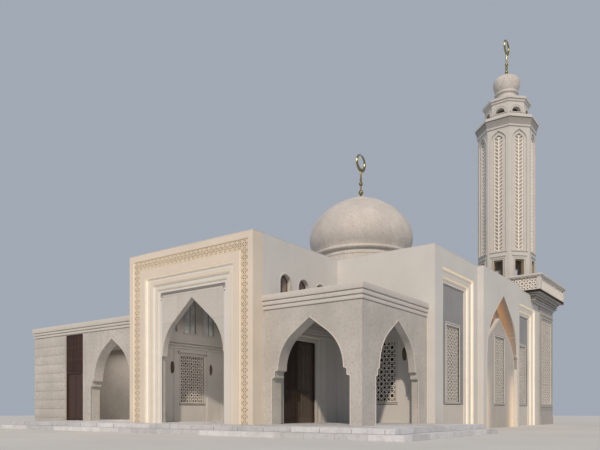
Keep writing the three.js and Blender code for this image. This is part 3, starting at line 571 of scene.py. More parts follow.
def make_stone(name, colour, contrast, pits, row=0, length=0):
    """Cut stone with pits and speckles, and with fine joints where a course height is given."""
    coat = Finish(name)
    base = weathered(coat, colour, contrast)
    cells = coat.node("TexVoronoi", {"Vector": coat.place, "Scale": pits}).outputs["Distance"]
    holes = coat.math("MULTIPLY", coat.spread(cells, 0.05, 0.22, 1, 0), coat.noise(3, 3))
    base = coat.blend(holes, 0.5, base, shade(colour, 0.5))
    speckle = coat.spread(coat.noise(9, 6, rough=0.75), 0.5, 0.64)
    base = coat.blend(speckle, contrast * 3.6, base, shade(colour, 0.66))
    height = coat.math("SUBTRACT", coat.noise(45, 4), holes)
    if row:
        across, deep, up = coat.axes()[:3]
        where = coat.node("CombineXYZ", {0: coat.math("ADD", across, deep), 1: up}).outputs[0]
        sizes = {"Vector": where, "Scale": 1, "Mortar Size": 0.004, "Mortar Smooth": 0.2, "Bias": 0,
                 "Brick Width": length, "Row Height": row, "Color1": (0.93, 0.93, 0.93, 1),
                 "Color2": (1.06, 1.05, 1.04, 1), "Mortar": (0.55, 0.53, 0.5, 1)}
        blocks = coat.node("TexBrick", sizes)
        base = coat.mix(1, base, blocks.outputs["Color"], "MULTIPLY")
        height = coat.math("SUBTRACT", height, coat.math("MULTIPLY", blocks.outputs["Fac"], 2))
    coat.finish(base, coat.spread(cells, 0, 0.6, 0.9, 0.7), height, 0.005, 0.55)


def make_marble(name, colour):
    """Honed marble with soft veins; each slab has its own tone."""
    coat = Finish(name)
    clouds = coat.noise(1.7, 6)
    base = coat.ramp(clouds, (0.3, shade(colour, 0.88)), (0.5, colour), (0.75, shade(colour, 1.05)))
    drift = coat.noise(2.4, 5)
    veins = coat.spread(coat.math("ABSOLUTE", coat.math("SUBTRACT", drift, 0.5)), 0, 0.04, 1, 0)
    base = coat.blend(veins, 0.3, base, shade(colour, 0.62))
    base = coat.tinted(base, coat.spread(coat.value("tone"), 0, 1, 0.8, 1.1))
    scuffs = coat.noise(11, 5)
    coat.finish(base, coat.spread(scuffs, 0.3, 0.7, 0.5, 0.8), coat.noise(90, 2), 0.001, 0.3)
    coat.shader.inputs["Specular IOR Level"].default_value = 0.15


def make_timber(name, colour, light=1.7):
    """Stained boards with long upright grain; each board has its own tone."""
    coat = Finish(name)
    tone = coat.value("tone")
    shift = coat.math("MULTIPLY", tone, 9)
    moved = coat.node("CombineXYZ", {0: shift, 1: shift, 2: shift}).outputs[0]
    where = coat.node("VectorMath", {0: coat.place, 1: moved}, operation="ADD").outputs[0]
    long = coat.node("Mapping", {"Vector": where, "Scale": (22, 22, 1.1)}).outputs[0]
    grain = coat.node("TexNoise", {"Vector": long, "Scale": 3, "Detail": 7, "Distortion": 0.6}).outputs[0]
    base = coat.ramp(grain, (0.3, shade(colour, 0.55)), (0.52, colour), (0.72, shade(colour, light)))
    base = coat.tinted(base, coat.spread(tone, 0, 1, 0.75, 1.3))
    coat.finish(base, coat.spread(grain, 0.3, 0.7, 0.42, 0.62), grain, 0.002, 0.5)


def make_metal(name, colour, rough):
    """Brushed and slightly tarnished metal."""
    coat = Finish(name)
    tarnish = coat.noise(14, 6)
    base = coat.ramp(tarnish, (0.35, shade(colour, 0.5)), (0.6, colour), (0.8, shade(colour, 1.15)))
    scratches = coat.noise(30, 3, (6, 6, 1))
    coat.finish(
        base, coat.spread(tarnish, 0.3, 0.7, rough + 0.22, rough), scratches, 0.0006, 0.4, metallic=1,
    )


def make_glass(name, colour):
    """Tinted pane, a little uneven and dusty in patches."""
    coat = Finish(name)
    dust = coat.noise(2.2, 5)
    base = coat.ramp(dust, (0.3, colour), (0.75, shade(colour, 2.2)))
    ripple = coat.noise(1.4, 2)
    coat.finish(base, coat.spread(dust, 0.3, 0.8, 0.1, 0.3), ripple, 0.004, 0.15)
    coat.shader.inputs["Specular IOR Level"].default_value = 0.06


def make_light(name, colour, body, power):
    """Plaster that glows with painted light where a hidden strip's light would fall; the glow value says how
    strongly at each point.
    """
    coat = Finish(name)
    base = weathered(coat, body, 0.05)
    glow = coat.value("glow")
    patch = coat.spread(coat.noise(4, 3), 0.2, 0.8, 0.82, 1.12)
    strength = coat.math("MULTIPLY", coat.math("MULTIPLY", coat.math("POWER", glow, 1.4), patch), power)
    core = coat.ramp(glow, (0, shade(colour, 0.8)), (0.55, colour), (1, colour))
    for socket, name in ((core, "Emission Color"), (strength, "Emission Strength")):
        coat.tree.links.new(socket, coat.shader.inputs[name])
    coat.finish(base, coat.spread(patch, 0.8, 1.2, 0.7, 0.85), coat.noise(120, 3), 0.003, 0.4)


def make_roofing(name, colour):
    """Roof sheeting in lapped strips with ponding marks and grit."""
    coat = Finish(name)
    ponds = coat.noise(0.35, 6)
    base = coat.ramp(ponds, (0.35, shade(colour, 0.78)), (0.55, colour), (0.7, shade(colour, 1.08)))
    grit = coat.spread(coat.noise(220, 2), 0.3, 0.7, 0.8, 1.1)
    base = coat.tinted(base, grit)
    strips = coat.math("PINGPONG", coat.axes()[0], 0.5)
    lap = coat.spread(strips, 0, 0.02, 1, 0)
    base = coat.blend(lap, 0.45, base, shade(colour, 0.55))
    coat.finish(base, coat.spread(ponds, 0.3, 0.7, 0.95, 0.75), coat.math("ADD", grit, lap), 0.004, 0.6)


def make_finishes(colours, lighting):
    plaster, stone = colours.plaster[:], colours.stone[:]
    minaret, screen, timber = colours.minaret[:], colours.screen[:], colours.timber[:]
    plasters = (
        ("wall plaster", plaster, 0.06),
        ("portal plaster", colours.portal_plaster[:], 0.06),
        ("vestibule plaster", shade(plaster, 0.95), 0.1),
        ("bay plaster", colours.bay[:], 0.14),
        ("arched bay plaster", colours.arched_bay[:], 0.14),
        ("carved plaster", colours.carving[:], 0.08),
        # The carved band's ground is dark brown: painted shade in the hollows between the carved stars.
        ("band painted shade", (0.16, 0.105, 0.06), 0.12),
        # The three backings sit behind pierced screens; their dark colours are painted shade seen through the
        # holes.
        ("painted shade backing dark", (0.07, 0.062, 0.055), 0.2),
        ("painted shade backing brown", (0.22, 0.195, 0.165), 0.2),
        ("painted shade backing pale", (0.38, 0.35, 0.31), 0.2),
        ("shadow joint", (0.05, 0.045, 0.04), 0.1),
        # The grey line over the portal's arch is painted shadow of a groove.
        ("painted shadow line", (0.22, 0.215, 0.215), 0.1),
    )
    for name, tint, contrast in plasters:
        make_plaster(name, tint, contrast)
    stones = (
        ("wall stone", stone, 0.18, 20),
        ("trim stone", shade(stone, 1.12), 0.06, 34),
        ("dome stone", colours.dome[:], 0.2, 14),
        ("minaret stone", minaret, 0.06, 30),
        # A copy of the minaret stone darkened to 0.72: painted shade over the whole base.
        ("painted shade base", shade(minaret, 0.72), 0.1, 30),
        # A copy of the minaret stone darkened to 0.6: painted shade of soffits and undersides.
        ("painted shade soffit", shade(minaret, 0.6), 0.1, 30),
        # A copy of the minaret stone darkened to 0.2: painted shadow under the crown's top slab.
        ("painted shadow band", shade(minaret, 0.2), 0.1, 30),
        ("screen stone", screen, 0.05, 60),
        # Screens on the sides are a darker copy of the screen stone: painted shade.
        ("painted shade screen", shade(screen, 0.85), 0.1, 60),
        ("bright stone", shade(screen, 1.12), 0.04, 60),
    )
    for name, tint, contrast, pits in stones:
        make_stone(name, tint, contrast, pits)
    make_stone("portal stone", colours.portal_stone[:], 0.07, 38, 1.19, 2.4)
    make_marble("honed marble", colours.marble[:])
    make_timber("dark timber", timber)
    # The two door leaves are lit and shaded copies of one timber: the front leaf darkened with painted shade,
    # the back leaf lighter with painted sunlight.
    make_timber("shaded painted timber", shade(timber, 0.6), 1.8)
    make_timber("sunlit painted timber", colours.sunlit_painted_timber[:])
    make_metal("polished brass", colours.brass[:], 0.2)
    make_metal("dark brass", shade(colours.brass[:], 0.3), 0.35)
    make_glass("dark glass", colours.glass[:])
    make_glass("painted daylight glass", colours.painted_daylight_glass[:])
    make_glass("brown glass", colours.brown_glass[:])
    make_light("strip light", colours.strip[:], plaster, lighting.strip_power)
    make_light("jamb light", colours.jamb[:], colours.arched_bay[:], lighting.strip_power * 1.2)
    # The coves' plaster under the amber glow is the wall plaster darkened to 0.42: painted shade of the deep
    # cove.
    make_light("amber light", colours.amber[:], shade(plaster, 0.42), lighting.amber_power)
    make_light("ochre light", colours.strip[:], (0.36, 0.27, 0.15), lighting.amber_power * 0.6)
    make_light("lamp light", colours.strip[:], (0.14, 0.11, 0.07), lighting.lamp_power)
    make_roofing("roofing", colours.roofing[:])


KEPT = {
    "wall plaster": (
        *(f"hall_{side}_{bay}_bay" for side in ("right", "left") for bay in ("front", "arch", "back")),
        "hall_front_wall", "hall_back_wall",
        "portal_right_front_pier", "portal_right_back_pier", "portal_right_upper_wall",
    ),
    "portal plaster": ("portal_border", "portal_light_frame"),
    "band painted shade": ("portal_carved_band",),
    "vestibule plaster": ("portal_left_wall",),
    "portal stone": ("portal_arch_panel",),
    "wall stone": ("porch_front_wall", "porch_side_wall", "wing_arch_wall", "wing_end_walls"),
    "minaret stone": ("minaret_shaft", "minaret_lantern"),
    "painted shade base": ("minaret_base",),
    "honed marble": ("hall_floor",),
    "roofing": ("hall_roof", "portal_roof", "porch_roof", "wing_roof"),
    "dark timber": ("door_frame", "timber_screen"),
}


def dress_kept_nodes():
    for finish, names in KEPT.items():
        for name in names:
            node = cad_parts[name]
            for slot in node.material_slots:
                slot.material = bpy.data.materials[finish]


def board(shell, low, high, chooser, chamfer=0.005):
    """Chamfered board or slab with a tone of its own."""
    shell.block(low, high, chamfer=chamfer, tone=chooser.random())


def paving(shell, xs, ys, zs, size, joint, chooser):
    """Grid of chamfered slabs as near to a size as the area allows."""
    counts = [max(1, round((high - low) / length)) for (low, high), length in zip((xs, ys), size)]
    steps = [(high - low) / count for (low, high), count in zip((xs, ys), counts)]
    for i in range(counts[0]):
        for j in range(counts[1]):
            low = (xs[0] + i * steps[0] + joint / 2, ys[0] + j * steps[1] + joint / 2, zs[0])
            high = (low[0] + steps[0] - joint, low[1] + steps[1] - joint, zs[1])
            board(shell, low, high, chooser, 0.004)


def make_terrace(paving_look):
    """Slabs on the terrace, blocks along its edges and blocks for the lower step."""
    chooser = random.Random(4)
    low, high = BOXES["terrace_floor"]
    joint = paving_look.joint
    block = paving_look.block_length
    slab = (paving_look.slab_length, paving_look.slab_width)
    edge, bed = TERRACE.edge, TERRACE.bed
    left, front = TERRACE.left, TERRACE.wing_front
    wing_left = BOXES["wing_end_walls"][0].x + WING.wall
    front_right = high.x - edge
    shell = Shell()
    inset = 0.006
    shell.block((left, low.y + inset, 0), (high.x - inset, front, bed))
    shell.block((HALL_LEFT, front, 0), (high.x - inset, HALL_FRONT, bed))
    shell.block((wing_left, front, 0), (HALL_LEFT, WING.room_back, bed))
    piece("terrace_bed", shell, "shadow joint", "marble")
    shell = Shell()
    areas = (
        ((left, front_right), (low.y, low.y + edge), STEP_RISE, (block, edge)),
        ((front_right, high.x), (low.y, HALL_FRONT), STEP_RISE, (edge, block)),
        ((left, front_right), (low.y + edge, front), bed, slab),
        ((HALL_LEFT, front_right), (front, HALL_FRONT), bed, slab),
        ((wing_left, HALL_LEFT), (front, WING.room_back), bed, slab),
    )
    for xs, ys, foot, size in areas:
        paving(shell, xs, ys, (foot, FLOOR), size, joint, chooser)
    piece("terrace_slabs", shell, "honed marble", "marble", replaces=("terrace_floor",))
    low, high = BOXES["terrace_step"]
    inner = BOXES["terrace_floor"][1].x
    front = BOXES["terrace_floor"][0].y
    shell = Shell()
    deep = TERRACE.step_block
    paving(shell, (low.x, high.x), (low.y, front), (0, STEP_RISE), (block, deep), joint, chooser)
    paving(shell, (inner, high.x), (front, high.y), (0, STEP_RISE), (deep, block), joint, chooser)
    piece("terrace_step_blocks", shell, "honed marble", "marble", replaces=("terrace_step",))


GLOW_FALL = ((0, 1), (0.035, 0.72), (0.09, 0.5), (0.17, 0.33), (0.28, 0.18))


def light_profile(reveal_depth, width, power):
    """Thin sheet over a step's reveal and along the deeper face, with the glow at each of its points."""
    sheet = 0.003
    points = [(0, 0, 0.62), (sheet, 0, 0.62), (sheet, -reveal_depth * 0.5, 0.78)]
    for across, glow in GLOW_FALL:
        reach = sheet + across * width / 0.28
        points.append((reach, -reveal_depth + sheet, glow))
    last = points[-1]
    points.append((last[0], -reveal_depth, last[2]))
    points.append((0, -reveal_depth, 0.8))
    return [(across, out) for across, out, glow in points], [glow * power for across, out, glow in points]


def light_frame(shell, path, place, depth, reveal, width, power=1):
    """Lay a lit sheet in the deep corner of a stepped frame; the path has the opening on its right."""
    profile, glow = light_profile(reveal, width, power)
    shell.moulding(path, [(across, out - depth) for across, out in profile], place, glow=glow)


def frame_path(left, right, top, inset):
    return [
        (left + inset, FLOOR), (left + inset, top - inset), (right - inset, top - inset),
        (right - inset, FLOOR),
    ]


def bead(shell, place, u, v, radius, base, top):
    """Low round stud."""
    sides = 8
    points = []
    for share, out in ((1, base), (1, base + (top - base) * 0.4), (0.6, base + (top - base) * 0.85)):
        ring = [tau * k / sides for k in range(sides)]
        points += [(u + radius * share * cos(a), v + radius * share * sin(a), out) for a in ring]
    points.append((u, v, top))
    faces = [[2 * sides + k, 2 * sides + (k + 1) % sides, 3 * sides] for k in range(sides)]
    faces += ring_faces(3, sides, True, False) + [list(range(sides))]
    shell.add(points, faces, place)


def make_portal(carving):
    """Carved star band, the lit edges beside it, the lit steps and the painted shadow line over the arch."""
    place = facing(FRONT, 0, 0)
    outer, inner = BAND.outer, BAND.inner
    base, top = -0.072, -0.048
    shell = Shell()
    period = (-PORTAL_LEFT - outer - inner) / carving.columns
    corner = (-(outer + inner) / 2, PARAPET - (outer + inner) / 2)
    origin = (corner[0] + period / 2, corner[1] + period / 2)
    crown = PARAPET - inner
    strips = (
        rectangle(PORTAL_LEFT + outer, PORTAL_LEFT + inner, FLOOR, crown),
        rectangle(-inner, -outer, FLOOR, crown),
        rectangle(PORTAL_LEFT + outer, -outer, crown, PARAPET - outer),
    )
    for outline in strips:
        lattice(shell, outline, place, period, carving.strap, base, top, origin)
    rows = int((PARAPET - outer - FLOOR) / period)
    spots = [(corner[0] + period * (i + 0.5), corner[1] + period / 2) for i in range(-carving.columns - 1, 1)]
    spots += [(u, v - period) for u, v in spots]
    for side in (-1, 0):
        for edge in (0, -carving.columns):
            across = corner[0] + period * (edge + side + 0.5)
            spots += [(across, corner[1] - period * (i + 0.5)) for i in range(1, rows)]
    for u, v in spots:
        bead(shell, place, u, v, period * 0.13, base, top + 0.004)
    for inset in (outer + 0.012, inner - 0.012):
        path = frame_path(PORTAL_LEFT, 0, PARAPET, inset)
        profile = [
            (-0.012, base), (-0.012, top - 0.004), (-0.006, top), (0.006, top), (0.012, top - 0.004),
            (0.012, base),
        ]
        shell.moulding(path, profile, place)
    piece("portal_stars", shell, "carved plaster", "plaster")
    shell = Shell()
    for (inset, near, deep), power in zip(PORTAL_STEPS, carving.step_lights):
        light_frame(shell, frame_path(PORTAL_LEFT, 0, PARAPET, inset), place, near, deep - near, 0.22, power)
    for inset, side in ((outer, 1), (inner, -1)):
        path = frame_path(PORTAL_LEFT, 0, PARAPET, inset)
        sheet = [
            (0, -0.07), (0, -0.004), (side * 0.003, -0.004), (side * 0.003, -0.067), (side * 0.02, -0.068),
            (side * 0.02, -0.07),
        ]
        shell.moulding(path, sheet, place, glow=[0.95, 0.75, 0.75, 0.9, 0, 0])
    piece("portal_lights", shell, "strip light", "plaster")
    make_portal_shadow_line(place)


def make_portal_shadow_line(place):
    """Flat dark line over the arch, a painted shadow of a groove, that ends in small stepped loops."""
    face = -0.33
    middle = PORTAL_LEFT / 2
    reach = -PORTAL_LEFT / 2 - 1.62 - 0.16
    foot, top = 6.04, 6.16
    shell = Shell()
    shell.prism(rectangle(middle - reach, middle + reach, foot, top), face, face + 0.007, place)
    for side in (-1, 1):
        end = middle + side * reach
        loop = [(end + side * u, foot + 0.05 + v) for u, v in PORTAL_LOOP]
        for one, two in zip(loop, loop[1:]):
            shell.rod(one, two, 0.035, face, face + 0.008, place, 1)
        bead(shell, place, end - side * 0.02, foot - 0.2, 0.035, face, face + 0.012)
    piece("portal_shadow_line", shell, "painted shadow line", "stone")


def corbel_curls(shell, arch, place, middle, thick):
    """Curled undersides that fill the corner below each step of an arch."""
    for side in (-1, 1):
        for i in range(arch.corbels):
            curl = corbel_curl(arch, i, 8)
            outline = [(curl[0][0], curl[-1][1])] + curl
            shell.prism([(middle + side * u, v) for u, v in outline], -thick, 0, place)


def window(shells, place, middle, half, foot, top, screens, scale=1):
    """Square window: star screen, moulded trim and sill with a painted shadow strip under it, and a pane with
    glazing bars behind.
    """
    screen, trims, panes, bars, painted_shadows = shells.values()
    rim, trim, bar = 0.035, WINDOW_TRIM, 0.028
    left, right = middle - half, middle + half
    opening = rectangle(left, right, foot, top)
    front = -0.045
    back = front - screens.depth
    glass = back - 0.025
    inner = rectangle(left + rim, right - rim, foot + rim, top - rim)
    origin = (middle, (foot + top) / 2)
    lattice(screen, inner, place, screens.period * scale, screens.bar * scale, back, front, origin)
    frame_profile = [(-rim, back), (-rim, front + 0.004), (0, front + 0.004), (0, back)]
    screen.moulding(opening, frame_profile, place, closed=True)
    profile = [
        (0, -0.06), (0, 0.012), (0.012, 0.024), (trim * 0.55, 0.024), (trim * 0.6, 0.014), (trim, 0.014),
        (trim, -0.004),
    ]
    trims.moulding(opening, profile, place, closed=True)
    sill = mm((0, -120), (0, 50), (20, 56), (35, 50), (50, 20), (70, 12), (70, -120))
    trims.moulding([(left - trim, foot), (right + trim, foot)], sill, place)
    # Dark strip just below the sill: painted shadow of the sill.
    groove = rectangle(left - trim, right + trim, foot - WINDOW_SHADOW_DROP, foot - 0.07)
    painted_shadows.prism(groove, -0.002, 0.004, place)
    panes.prism(opening, glass - 0.024, glass, place)
    profile = [(-bar, glass), (-bar, glass + 0.02), (0, glass + 0.02), (0, glass)]
    bars.moulding(opening, profile, place, closed=True)
    bars.rod((middle, foot), (middle, top), bar, glass, glass + 0.018, place)
    for share in (1 / 3, 2 / 3):
        height = foot + (top - foot) * share
        bars.rod((left, height), (right, height), bar, glass, glass + 0.017, place)
    lintel = mm((0, 0), (0, 40), (-30, 50), (-50, 30), (-50, 0))
    trims.moulding([(left - trim, top + trim), (right + trim, top + trim)], lintel, place)


def round_path(middle, half, foot, top, steps=14):
    """Outline of a round head from its right foot over to its left foot."""
    spring = top - half
    arc = [pi * i / steps for i in range(steps + 1)]
    points = [(middle + half * cos(a), spring + half * sin(a)) for a in arc]
    return [(middle + half, foot)] + points + [(middle - half, foot)]


WINDOW_PARTS = {
    "screens": ("painted shade screen", "stone"),
    "trims": ("trim stone", "stone"),
    "panes": ("dark glass", "dark_glass"),
    "bars": ("dark brass", "brass"),
    "painted_shadows": ("shadow joint", "stone"),
}


def new_shells():
    return {part: Shell() for part in WINDOW_PARTS}


def window_pieces(group, shells, replaced, screen_finish="painted shade screen"):
    for part, (finish, slot) in WINDOW_PARTS.items():
        if shells[part].points:
            finish = screen_finish if part == "screens" else finish
            piece(f"{group}_{part}", shells[part], finish, slot, replaces=replaced if part == "panes" else ())


def make_hall_windows(screens):
    """Nine windows of the hall's two sides and back, and the one behind the porch."""
    right_panes = [f"hall_right_glass_{i + 1}" for i in range(3)]
    sides = (
        ("right", RIGHT, HALL_RIGHT, 1, right_panes),
        ("left", LEFT, HALL_LEFT, -1, ["hall_left_glass"]),
    )
    for side, angle, wall, out, names in sides:
        shells = new_shells()
        for i, centre in enumerate(BAY_CENTRES):
            depth = BAY_RECESS - BAY_PROJECTION if i == 1 else BAY_STEPS[-1][2]
            face = wall - out * depth
            place = facing(angle, face, 0)
            window(shells, place, out * centre, HALL_WINDOW.half, WINDOW_SILL, HALL_WINDOW.top, screens)
        window_pieces(f"hall_{side}", shells, names)
    shells = new_shells()
    for centre in BACK_WINDOW_CENTRES:
        place = facing(BACK, 0, HALL_BACK)
        window(shells, place, -centre, HALL_WINDOW.half, WINDOW_SILL, HALL_WINDOW.top, screens)
    window_pieces("hall_back", shells, ["hall_back_glass"])
    shells = new_shells()
    look = PORCH_WINDOW
    window(shells, facing(FRONT, 0, HALL_FRONT), look.middle, look.half, WINDOW_SILL, look.top, screens, 1.35)
    window_pieces("porch_window", shells, ["porch_window_glass"], "screen stone")


def even_points(path, count):
    """Points at equal steps along an open path."""
    lengths = [0]
    for a, b in zip(path, path[1:]):
        lengths.append(lengths[-1] + dist(a, b))
    result = []
    j = 0
    for i in range(count + 1):
        target = lengths[-1] * i / count
        while j < len(path) - 2 and lengths[j + 1] < target:
            j += 1
        span = lengths[j + 1] - lengths[j] or 1
        share = (target - lengths[j]) / span
        result.append(tuple(a + (b - a) * share for a, b in zip(path[j], path[j + 1])))
    return result


def lit_cove(shell, place, middle, out):
    """Thin lit sheet on the back of the cove between the two pointed arches, brightest at the lower one."""
    spring = BAY_COVE.spring_height
    head, rim = arch_head(BAY_COVE, middle, spring), arch_head(BAY_ARCH, middle, spring)
    count = 60
    lower, upper = even_points(head, count), even_points(rim, count)
    glows = (1, 0.72, 0.5, 0.34, 0.24)
    points, glow = [], []
    for (au, av), (bu, bv) in zip(lower, upper):
        near_crown = 0.45 + 0.55 * max(0, (av - spring) / (BAY_COVE.apex - spring))
        for back in (0, 0.004):
            for k, level in enumerate(glows):
                share = k / (len(glows) - 1)
                points.append((au + (bu - au) * share, av + (bv - av) * share, out + back))
                glow.append(level * near_crown)
    row = len(glows)
    faces = []
    for i in range(count):
        one, two = i * 2 * row, (i + 1) * 2 * row
        for k in range(row - 1):
            faces.append([one + k, one + k + 1, two + k + 1, two + k])
            faces.append([one + row + k, one + row + k + 1, two + row + k + 1, two + row + k])
        for k in (0, row - 1):
            faces.append([one + k, one + row + k, two + row + k, two + k])
    for end in (0, count * 2 * row):
        for k in range(row - 1):
            faces.append([end + k, end + k + 1, end + row + k + 1, end + row + k])
    shell.add(points, faces, place, glow)


def bay_panel(dark, pale, place, middle):
    """Thin slabs round a framed bay's window: dark above and beside it, pale below the sill."""
    half = BAY_FRAME.half - BAY_STEPS[-1][0] - 0.003
    top = BAY_FRAME.top - BAY_STEPS[-1][0] - 0.003
    trim = HALL_WINDOW.half + WINDOW_TRIM
    head = HALL_WINDOW.top + WINDOW_TRIM
    sill = WINDOW_SILL - WINDOW_SHADOW_DROP
    gap = 0.006
    thick = 0.004
    level = (head + top) / 2
    for foot, high in ((head + 0.05, level), (level + gap, top)):
        dark.block((middle - half, foot, 0), (middle + half, high, thick), place)
    for side in (-1, 1):
        ends = sorted((middle + side * trim, middle + side * half))
        dark.block((ends[0], sill, 0), (ends[1], head + 0.05 - gap, thick), place)
    for side in (-1, 1):
        ends = sorted((middle + side * gap / 2, middle + side * half))
        pale.block((ends[0], 0, 0), (ends[1], sill - gap, thick), place)


def arch_panel(shell, face, middle):
    """Thin grey slabs round the arched bay's window, cut to the lower arch."""
    half = arch_half(BAY_COVE, 0) + [(0, BAY_COVE.apex)]
    trim = HALL_WINDOW.half + WINDOW_TRIM
    head = HALL_WINDOW.top + 0.15
    sill = WINDOW_SILL - WINDOW_SHADOW_DROP
    low = [point for point in half if point[1] < head]
    high = [point for point in half if point[1] >= head]
    (au, av), (bu, bv) = low[-1], high[0]
    cut = au + (bu - au) * (head - av) / (bv - av)
    back, front = -BAY_RECESS, -BAY_RECESS + 0.003
    for side in (-1, 1):
        outline = [(trim, 0)] + [(u - 0.002, v) for u, v in low] + [(cut, head), (trim, head)]
        shell.prism([(middle + side * u, v) for u, v in outline], back, front, face)
    side = [(cut, head)] + high
    crown = [(middle + u, v) for u, v in side] + [(middle - u, v) for u, v in reversed(side[:-1])]
    shell.prism(crown, back, front, face)
    shell.prism(rectangle(middle - trim, middle + trim, 0, sill), back, front, face)


def arch_glow(amber, jambs, face, middle):
    """Lit lining of a deep pointed arch, and the light that falls on the panel beside each jamb."""
    spring = BAY_COVE.spring_height
    depths = ((-BAY_COVE_DEPTH, 1), (-0.42, 0.85), (-0.22, 0.55), (-0.06, 0.35))
    head = arch_head(BAY_ARCH, middle, spring)
    profile = [(-0.003, out) for out, glow in depths] + [(0, out) for out, glow in reversed(depths)]
    level = [glow for out, glow in depths] + [glow for out, glow in reversed(depths)]
    rise = BAY_ARCH.apex - spring
    shares = [0.55 + 0.45 * (height - spring) / rise for across, height in head]
    amber.moulding(head, profile, face, glow=[glow * share for share in shares for glow in level])
    panel = ((0.003, 0.6), (0.15, 0.95), (0.35, 1), (0.65, 0.72), (1, 0.35), (1.4, 0))
    deep = -BAY_RECESS
    sheet = [(0, deep)] + [(across, deep + 0.007) for across, glow in panel] + [(panel[-1][0], deep)]
    fall = [0] + [glow for across, glow in panel] + [0]
    heights = (0, 0.8, 1.6, 2.2, 2.7, spring)
    for side in (-1, 1):
        edge = middle + side * BAY_ARCH.jamb
        path = [(edge, height) for height in (reversed(heights) if side > 0 else heights)]
        shares = [1 - (height / spring) ** 4 for across, height in path]
        jambs.moulding(path, sheet, face, glow=[glow * share for share in shares for glow in fall])


def make_bays():
    """Panels and lit steps of the framed bays, and the arched bays' rims, glowing coves and lit jambs."""
    lights, jambs, amber, rims, dark, grey, pale = (Shell() for part in range(7))
    for angle, wall, out in ((RIGHT, HALL_RIGHT, 1), (LEFT, HALL_LEFT, -1)):
        place = facing(angle, wall, 0)
        for centre in (BAY_CENTRES[0], BAY_CENTRES[2]):
            middle = out * centre
            for (inset, near, deep), power in zip(BAY_STEPS, BAY_LIGHTS):
                half = BAY_FRAME.half - inset
                top = BAY_FRAME.top - inset
                path = [(middle - half, 0), (middle - half, top), (middle + half, top), (middle + half, 0)]
                light_frame(lights, path, place, near, deep - near, BAY_LIGHT_WIDTH * power, power)
            bay_panel(dark, pale, facing(angle, wall - out * BAY_STEPS[-1][2], 0), middle)
        middle = out * BAY_CENTRES[1]
        face = facing(angle, wall + out * BAY_PROJECTION, 0)
        lit_cove(amber, face, middle, -BAY_COVE_DEPTH)
        arch_glow(amber, jambs, face, middle)
        arch_panel(grey, face, middle)
        corbel_curls(rims, BAY_ARCH, face, middle, BAY_RECESS)
        outline = arch_path(BAY_ARCH, 0, middle)
        rims.moulding(outline, mm((0, -30), (0, 8), (20, 14), (45, 8), (50, -2), (50, -30)), face)
        head = arch_head(BAY_COVE, middle, BAY_COVE.spring_height)
        rims.moulding(head, mm((-50, -240), (-50, -210), (0, -205), (0, -240)), face)
    piece("bay_lights", lights, "strip light", "plaster")
    piece("bay_jamb_lights", jambs, "jamb light", "plaster")
    piece("bay_coves", amber, "amber light", "plaster")
    piece("bay_rims", rims, "wall plaster", "plaster")
    piece("bay_dark_panels", dark, "bay plaster", "plaster")
    piece("bay_grey_panels", grey, "arched bay plaster", "plaster")
    piece("bay_aprons", pale, "trim stone", "stone")


